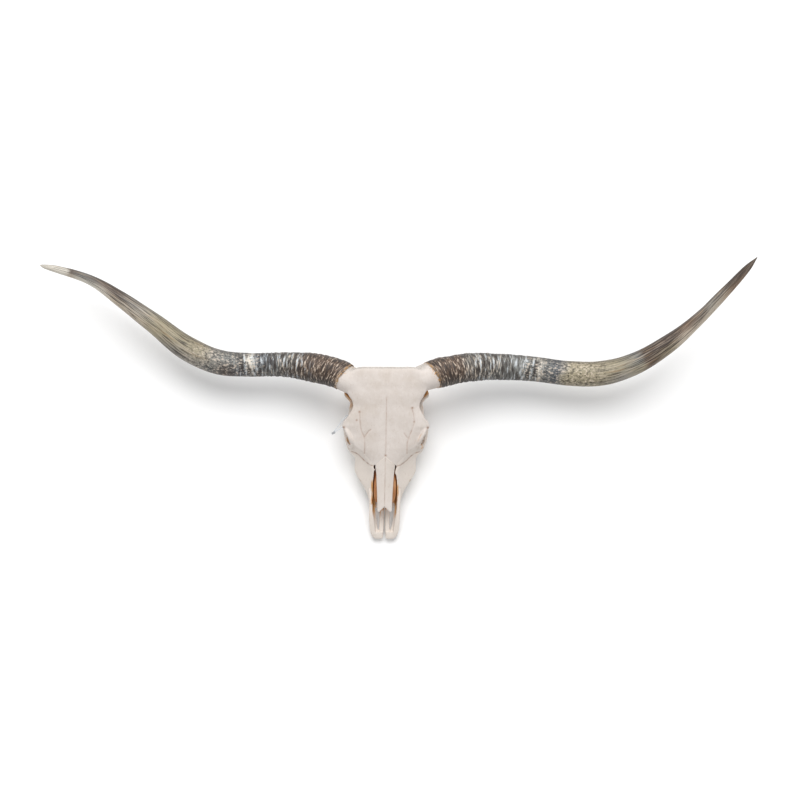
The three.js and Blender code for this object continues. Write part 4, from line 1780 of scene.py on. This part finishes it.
@dataclass
class Staining:
    """Works out where tea-brown stain stays, in hollows and narrow gaps, and where painted shade darkens the
    rear-facing nape.
    """

    reach: float = 34.0  # walls farther away than this don't keep a place damp
    rays: int = 22
    # Whiter tone for each bone: partly sun bleaching, partly painted light that lifts bones lying in shade,
    # such as the cheek arch and the braincase.
    bleached: ClassVar[dict[str, float]] = {
        "cheek": 0.4, "maxilla": 0.7, "premaxilla": 0.75, "nasal": 0.25, "braincase": 0.6,
    }
    seam_width: float = 1.6  # walls closer than this are the two sides of a seam, which stay clean
    # Places that stay damp: middle, half sizes and strength, on both sides.
    patches: tuple = (
        ((101, -92, 100), (16, 38, 34), 0.48),  # the temple
        ((112, -76, 88), (10, 12, 16), 0.3),  # the jaw's joint
        ((103, -194, 96), (9, 20, 20), 0.35),  # the eye socket, then three places along its rim
        ((113, -168, 118), (5, 6, 8), 0.35),
        ((97, -220, 100), (5, 6, 12), 0.5),
        ((84, -233, 96), (5, 4, 12), 0.45),
        ((6, -366, 28), (8, 22, 9), 0.8),  # between the premaxillae
        ((31, -378, 50), (4, 42, 26), 0.45),  # the walls of the open muzzle
        ((33, -318, 84), (5, 42, 13), 0.7),  # the outer walls of the slits
    )

    def directions(self) -> list[Vector]:
        """Spreads directions evenly on a sphere.

        Returns:
            The directions.
        """
        golden = math.pi * (3 - math.sqrt(5))
        out = []
        for i in range(self.rays):
            z = 1 - 2 * (i + 0.5) / self.rays
            r = math.sqrt(1 - z * z)
            out.append(Vector((r * math.cos(golden * i), r * math.sin(golden * i), z)))
        return out

    def shelter(self, tree: BVHTree, co: np.ndarray, facing: np.ndarray) -> np.ndarray:
        """How much of the air in front of each point is shut off by walls nearby.

        Args:
            tree: All the bones.
            co: The points.
            facing: Direction of the surface there.

        Returns:
            A share from 0 to 1 for each point.
        """
        spread = self.directions()
        shut = np.empty(len(co))
        for i, (at, out) in enumerate(zip(co.tolist(), facing.tolist())):
            start, normal = Vector(at) + Vector(out) * 0.5, Vector(out)
            hit = seen = 0.0
            for way in spread:
                weight = way.dot(normal)
                if weight > 0.1:
                    seen += weight
                    away = tree.ray_cast(start, way, self.reach)[3]
                    if away is not None and away > self.seam_width:
                        hit += weight
            shut[i] = hit / seen if seen else 0.5
        return shut

    def damp(self, co: np.ndarray) -> np.ndarray:
        """How much damper some places stay than their walls alone would make them.

        Args:
            co: The points.

        Returns:
            What is added to their stain.
        """
        more = np.zeros(len(co))
        for centre, size, strength in self.patches:
            for side in (-1, 1):
                off = (co - np.multiply(centre, (side, 1, 1))) / size
                more += strength * np.exp(-np.sum(off ** 2, axis=1))
        # Brown specks on the pitted bone beside the sheaths.
        specks = ramp(wavering(co, 2.8, 4.0), 0.08, 0.3)
        for horn in (LEFT_HORN, RIGHT_HORN):
            normal, offset = horn.plane()
            more += 0.6 * specks * ramp(co @ normal - offset, -22, -1) * (np.abs(co[:, 0]) > 70)
        return more

    def seams(self, co: np.ndarray, facing: np.ndarray) -> np.ndarray:
        """Brown lines along seams and veins, and brown rims round the holes of the brow.

        Args:
            co: The points.
            facing: Direction of the surface there.

        Returns:
            A strength from 0 to 1 for each point.
        """
        seam = np.zeros(len(co))
        top = ramp(facing[:, 2], -0.1, 0.3)
        faint = top * np.clip(0.75 + 0.7 * wavering(co, 8, 6.0), 0.1, 1.1)
        for strength, line in SEAMS:
            seam = np.maximum(seam, strength * faint * np.exp(-((away_from(co, line) / 1.4) ** 2)))
        for start, way, radius, _ in SkullMass.bores[:BROW_BORES]:
            way = np.asarray(way) / np.linalg.norm(way)
            off = co - np.asarray(start)
            off -= (off @ way)[:, None] * way
            around = np.exp(-np.sum(off ** 2, axis=1) / (radius + 0.9) ** 2)
            seam = np.maximum(seam, 0.9 * around * (co[:, 2] > 120))
        return seam

    def apply(self, bones: dict[str, Object], limit: dict[str, float]) -> None:
        """Writes the layers for stain, seams, painted shade on the nape, and bleaching mixed with painted
        light on every bone.

        Args:
            bones: The bones in mm.
            limit: The strongest stain for the bones that stay lighter.
        """
        bm = bmesh.new()
        for bone in bones.values():
            bm.from_mesh(bone.data)
        tree = BVHTree.FromBMesh(bm)
        bm.free()
        for name, bone in bones.items():
            co, facing = places(bone), facings(bone)
            shut = self.shelter(tree, co, facing) + self.damp(co)
            # The muzzle's tip is open to the air all round, so it dries clean.
            shut *= 1 - 0.75 * ramp(-co[:, 1], 400, 445)
            shut = np.clip(shut, 0, limit.get(name, 1.0))
            # Painted shade on the rear-facing surfaces of the nape.
            grime = ramp(facing[:, 1], 0.3, 0.85) * ramp(co[:, 1], -45, -12)
            write_layer(bone, "stain", shut)
            write_layer(bone, "seam", self.seams(co, facing))
            write_layer(bone, "grime", grime)
            write_layer(bone, "bleach", np.full(len(co), self.bleached.get(name.partition("_")[0], 0.0)))


# ---------------------------------------------------------------- horns
@dataclass
class HornSheath:
    """A horn sheath: its first rings are parallel to its rim, and the sections beyond are square to it."""

    horn: HornLine
    rings: int = 330  # rows in the ringed part
    plain: int = 210  # rows beyond it
    columns: int = 112
    ringed: float = 340.0  # length of the ringed part
    socket: float = 6.0  # the bony peg reaches this far into the sheath
    lip: float = 3.6  # the ragged rim reaches this far back over the bone
    turning: float = 75.0  # over this length the sections turn from the rim's plane to square

    def build(self) -> Object:
        """Builds the sheath.

        Returns:
            The sheath in mm, with the layers grain and ridge.
        """
        keys, line = self.horn.keys(), np.asarray(self.horn.line, float)
        fine = np.linspace(0, keys[-1], 6000)
        path = curve_through(keys, line, fine)
        normal, offset = self.horn.plane()
        start = int(np.argmax(path[:, :3] @ normal - offset > 0))
        arc = np.concatenate([[0], np.cumsum(np.linalg.norm(np.diff(path[:, :3], axis=0), axis=1))])
        arc -= arc[start]
        length = arc[-1]
        # Rows: a flat end inside the rim, the rim's lip, the ringed root, then the plain horn to the tip.
        reach = np.concatenate([
            [0.0, 0.0], [-1.0, -1.0], np.linspace(0, self.ringed, self.rings)[:-1],
            self.ringed + (length - self.ringed) * np.linspace(0, 1, self.plain) ** 0.97, [length],
        ])
        rows = len(reach) - 1
        grain: list[np.ndarray] = []

        def surface(u: np.ndarray, v: np.ndarray) -> np.ndarray:
            """Places the sheath's grid points.

            Args:
                u: Share of the way along it, for each point.
                v: Share of the way round it.

            Returns:
                One point a row.
            """
            row = np.rint(u * rows).astype(int)
            s = reach[row]
            turn = v * 2 * math.pi
            c, d = np.cos(turn), np.sin(turn)
            at = np.clip(s, 0, length)
            middle = np.stack([np.interp(at, arc, path[:, i]) for i in range(3)], axis=1)
            radius = np.interp(at, arc, path[:, 3])
            ahead = np.stack([np.interp(at + 4, arc, path[:, i]) for i in range(3)], axis=1)
            behind = np.stack([np.interp(at - 4, arc, path[:, i]) for i in range(3)], axis=1)
            along = (ahead - behind) / np.linalg.norm(ahead - behind, axis=1)[:, None]
            share = ramp(at, 0, self.turning)[:, None]
            facing = (1 - share) * normal + share * along
            facing /= np.linalg.norm(facing, axis=1)[:, None]
            round_place = np.stack([at, 30 * c, 30 * d], axis=1)
            ridge = self.ridges(round_place, c, d, at)
            lumps = 0.9 * wavering(round_place, 60, self.horn.seed) * ramp(at, 20, 90)
            fade = ramp(length - at, 0, 40)
            rough = (ridge - 0.5) * 1.9 * ramp(at, self.ringed, 0.55 * self.ringed) + lumps * fade
            rough += 0.16 * wavering(round_place / (9, 1, 1), 2.2, self.horn.seed + 5) * fade
            size = radius + rough * ramp(at, -1, 8) - 1.1 * ramp(at, 10, 0)
            torn = wavering(np.stack([c, d, 0 * c], axis=1) * 5.0, 1.0, self.horn.seed + 2)
            lip = np.clip(self.lip * (0.55 + 0.75 * torn), 0.3, 5.6)
            size = np.where(row == 0, 0.0, np.where((row == 1) | (row == 2), radius - 1.8, size))
            size = np.where(row == rows, 0.0, size)
            out = oval(0.0, along, turn, size, FLATNESS * size)
            slip = -np.sum(out * facing, axis=1) / np.sum(along * facing, axis=1)
            back = np.where((row == 2) | (row == 3), -lip, 0.0) + np.where(row < 2, self.socket, 0.0)
            grain.append(np.stack([at, 30 * c * self.horn.side.value, 30 * d], axis=1) / 1000)
            grain.append(ridge)
            return middle + out + along * (slip + back)[:, None]

        bm = bmesh.new()
        bmesh.ops.create_grid(bm, x_segments=rows, y_segments=self.columns, size=1.0)
        flat = np.array([v.co[:2] for v in bm.verts])
        co = surface((flat[:, 0] + 1) / 2, (flat[:, 1] + 1) / 2)
        layer = bm.verts.layers.float_vector.new("grain")
        height = bm.verts.layers.float.new("ridge")
        for vert, place, at, rise in zip(bm.verts, co.tolist(), grain[0].tolist(), grain[1].tolist()):
            vert.co = place
            vert[layer] = at
            vert[height] = rise
        bmesh.ops.remove_doubles(bm, verts=bm.verts, dist=1e-3)
        bmesh.ops.recalc_face_normals(bm, faces=bm.faces)
        return object_from(bm, "sheath")

    def ridges(self, place: np.ndarray, c: np.ndarray, d: np.ndarray, at: np.ndarray) -> np.ndarray:
        """Growth rings of uneven height and spacing.

        Args:
            place: Distance along the horn and the place round it, in mm.
            c: Cosine of the angle round the horn.
            d: Sine of it.
            at: Distance along the horn.

        Returns:
            Heights from 0 to 1.
        """
        slant = 7.0 * wavering(np.stack([at / 40, 0.8 * c, 0.8 * d], axis=1), 1.0, self.horn.seed + 9)
        coarse = wavering(np.stack([(at + slant) / 6.5, 0.9 * c, 0.9 * d], axis=1), 1.0, self.horn.seed)
        fine = wavering(np.stack([(at + slant) / 2.6, 2.2 * c, 2.2 * d], axis=1), 1.0, self.horn.seed + 3)
        return np.clip(0.5 + 0.75 * coarse + 0.45 * fine, 0, 1)


def zones(text: str) -> tuple[Zone, ...]:
    """Reads zones from one line for each: distance from the rim, back tone and front tone.

    Args:
        text: The lines.

    Returns:
        The zones.
    """
    rows = (line.split() for line in text.strip().splitlines())
    return tuple(Zone(float(at), Keratin[back], Keratin[front]) for at, back, front in rows)


LEFT_ZONES = zones("""
    0 TAN TAN
    9 BROWN UMBER
    36 BROWN UMBER
    75 BROWN UMBER
    98 STONE UMBER
    159 STONE SLATE
    220 SLATE SLATE
    287 SLATE SLATE
    296 IVORY CREAM
    306 SLATE SLATE
    345 INK INK
    362 STONE OLIVE
    385 OLIVE OLIVE
    457 OLIVE OLIVE
    521 OLIVE STONE
    575 SLATE OLIVE
    600 UMBER BROWN
    660 UMBER OLIVE
    700 UMBER CREAM
    740 BROWN CREAM
    826 STONE CREAM
    900 UMBER TAN
    960 UMBER UMBER
""")
RIGHT_ZONES = zones("""
    0 TAN TAN
    9 BROWN UMBER
    60 BROWN UMBER
    110 BROWN UMBER
    150 STONE UMBER
    185 SLATE SLATE
    215 INK SLATE
    245 INK SLATE
    257 IVORY STONE
    265 IVORY SLATE
    276 SLATE INK
    330 SLATE UMBER
    370 STONE SLATE
    410 OLIVE STONE
    470 OLIVE STONE
    540 OLIVE OLIVE
    610 STONE CREAM
    680 UMBER CREAM
    730 UMBER IVORY
    790 SLATE IVORY
    820 UMBER CREAM
    832 IVORY IVORY
""")


# ---------------------------------------------------------------- the tag tie
@dataclass
class TagTie:
    """A moulded loop round the bar behind the right eye, and the barb that closes it."""

    # The strand's middle line, from one end over the bar of bone and back.
    line: tuple = (
        (-139, -182, 80), (-124, -171, 92), (-107, -162, 99), (-92, -156, 103), (-84, -146, 104),
        (-90, -136, 104), (-104, -135, 102), (-117, -147, 98), (-129, -165, 90), (-141, -180, 80),
    )
    radius: float = 0.9
    barb_size: tuple = (10, 6, 4)
    barb_place: tuple = (-142, -183.6, 78.4)

    def loop(self) -> Object:
        """The nylon strand."""
        return bar(self.line, [(self.radius, self.radius)] * 2, 220, 14)

    def barb(self) -> Object:
        """The barb that the strand's ends go into.

        Returns:
            A rounded block with hollowed ends.
        """
        bm = bmesh.new()
        bmesh.ops.create_cube(bm, size=1.0)
        bmesh.ops.scale(bm, vec=self.barb_size, verts=bm.verts)
        bmesh.ops.bevel(bm, geom=bm.edges[:], offset=1.1, segments=4, profile=0.5, affect="EDGES",
                        material=-1)
        ends = [f for f in bm.faces if abs(f.normal.x) > 0.99]
        bmesh.ops.inset_individual(bm, faces=ends, thickness=0.5, depth=-0.8)
        turn = Matrix.Rotation(0.5, 3, "Z") @ Matrix.Rotation(-0.48, 3, "Y")
        bmesh.ops.rotate(bm, cent=(0, 0, 0), matrix=turn, verts=bm.verts)
        bmesh.ops.translate(bm, vec=self.barb_place, verts=bm.verts)
        return object_from(bm, "barb")


# ---------------------------------------------------------------- studio
@dataclass
class Studio:
    """A pale floor, a broad soft light from behind the poll, a weak one from the front, a camera above."""

    height: float = 6.0  # of the camera above the floor, in metres
    lens: float = 98.3  # focal length on a sensor 36 mm wide
    aim: tuple[float, float] = (0.0164, -0.0069)  # the point below the camera, in metres
    roll: float = 1.0  # degrees
    floor_tone: str = "#f6f6f6"
    sky: float = 0.47
    # Each: strength, apparent size and tilt in degrees.
    suns: tuple = (("softbox", 3.0, 44, -40), ("fill", 0.42, 80, 40))

    def floor(self) -> Object:
        """Lays the floor.

        Returns:
            A wide disc at Z 0.
        """
        bm = bmesh.new()
        bmesh.ops.create_circle(bm, cap_ends=True, segments=96, radius=40.0)
        disc = object_from(bm, "floor")
        p = Palette("matt_white_paint")
        place = p.node("TexCoord").outputs["Object"]
        # Roller marks 3 mm across, almost too faint to see.
        marks = p.grain(place, (3, 3, 3), 2.0)
        paint = p.finish(bump=marks, height=0.02, Base_Color=tone(self.floor_tone), Roughness=0.9)
        disc.data.materials.append(paint)
        return disc

    def build(self) -> None:
        """Sets up floor, light, sky and camera."""
        scene = bpy.context.scene
        self.floor()
        for name, energy, size, tilt in self.suns:
            light = bpy.data.lights.new(name, "SUN")
            light.energy = energy
            light.angle = math.radians(size)
            lamp = bpy.data.objects.new(name, light)
            lamp.rotation_euler = (math.radians(tilt), 0, 0)
            scene.collection.objects.link(lamp)
        world = bpy.data.worlds.new("studio")
        world.use_nodes = True
        world.node_tree.nodes["Background"].inputs[0].default_value = (1, 1, 1, 1)
        world.node_tree.nodes["Background"].inputs[1].default_value = self.sky
        scene.world = world
        scene.view_settings.view_transform = "Standard"
        lens = bpy.data.cameras.new("camera")
        lens.lens = self.lens
        lens.sensor_width = 36.0
        lens.clip_end = 200.0
        camera = bpy.data.objects.new("camera", lens)
        camera.location = (*self.aim, self.height)
        camera.rotation_euler = (0, 0, math.radians(self.roll))
        scene.collection.objects.link(camera)
        scene.camera = camera


def main() -> None:
    """Builds the studio and every piece of the skull."""
    logging.basicConfig(level=logging.INFO, format="%(name)s: %(message)s")
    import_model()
    Studio().build()

    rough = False
    mass = (SkullMass(voxel=2.6) if rough else SkullMass()).build()
    nasals, muzzle = Nasals(), Premaxillae()
    for side in Side:
        combined(mass, nasals.half(side, KNIT), "DIFFERENCE")
        combined(mass, muzzle.half(side, KNIT), "DIFFERENCE")
    bones = Parting().part(mass)
    for side in Side:
        bones[f"nasal_{side.label}"] = nasals.half(side)
        bones[f"premaxilla_{side.label}"] = muzzle.half(side)
        sockets = fused("alveoli", [tooth.build(side, GAP) for tooth in TOOTH_ROW])
        combined(bones[f"maxilla_{side.label}"], sockets, "DIFFERENCE")
    inner = NoseBones()
    extra = {f"scroll_{side.label}": inner.scroll(side) for side in Side}
    extra["septum"] = inner.septum()
    Staining(rays=12 if rough else 22).apply(bones | extra, {
        **{name: 0.75 for name in extra}, "maxilla_left": 0.82, "maxilla_right": 0.82,
    })

    bone = BleachedBone().material()
    # The scroll bones and the septum never see the sun, so they keep the colour of tea. Their tones are also
    # set brighter, as painted light, because they lie in shade inside the nose.
    thin = BleachedBone("stained_scroll_bone", clean="#bb875a", chalky="#c89669", grey="#99694a",
                        white="#c9996f", tan="#a76c40", rust="#824826").material()
    for name, piece in (bones | extra).items():
        settle(skewed(piece), f"{name}_bone")
        piece.data.materials.clear()
        piece.data.materials.append(thin if name in extra else bone)
        declare(piece, "bone", *([name] if name in bones else []))

    enamel = WornEnamel().material()
    for side in Side:
        for number, tooth in enumerate(TOOTH_ROW):
            piece = settle(skewed(tooth.build(side)), f"tooth_{side.label}_{6 - number}")
            piece.data.materials.append(enamel)
            declare(piece, "tooth", f"maxilla_{side.label}")

    for horn, tones in ((LEFT_HORN, LEFT_ZONES), (RIGHT_HORN, RIGHT_ZONES)):
        sheath = HornSheath(horn)
        if rough:
            sheath.columns = 72
        piece = settle(sheath.build(), f"horn_{horn.side.label}_sheath", 70)
        keratin = WeatheredHorn(f"weathered_horn_{horn.side.label}", tones, horn.length)
        piece.data.materials.append(keratin.material())
        declare(piece, "horn", f"horn_{horn.side.label}")

    tie = TagTie()
    loop = settle(tie.loop(), "tag_tie_loop")
    loop.data.materials.append(ClearNylon().material())
    declare(loop, "nylon", "tag_tie")
    barb = settle(tie.barb(), "tag_tie_barb")
    barb.data.materials.append(GreyBarb().material())
    declare(barb, "barb", "tag_tie")


if __name__ == "__main__":
    main()
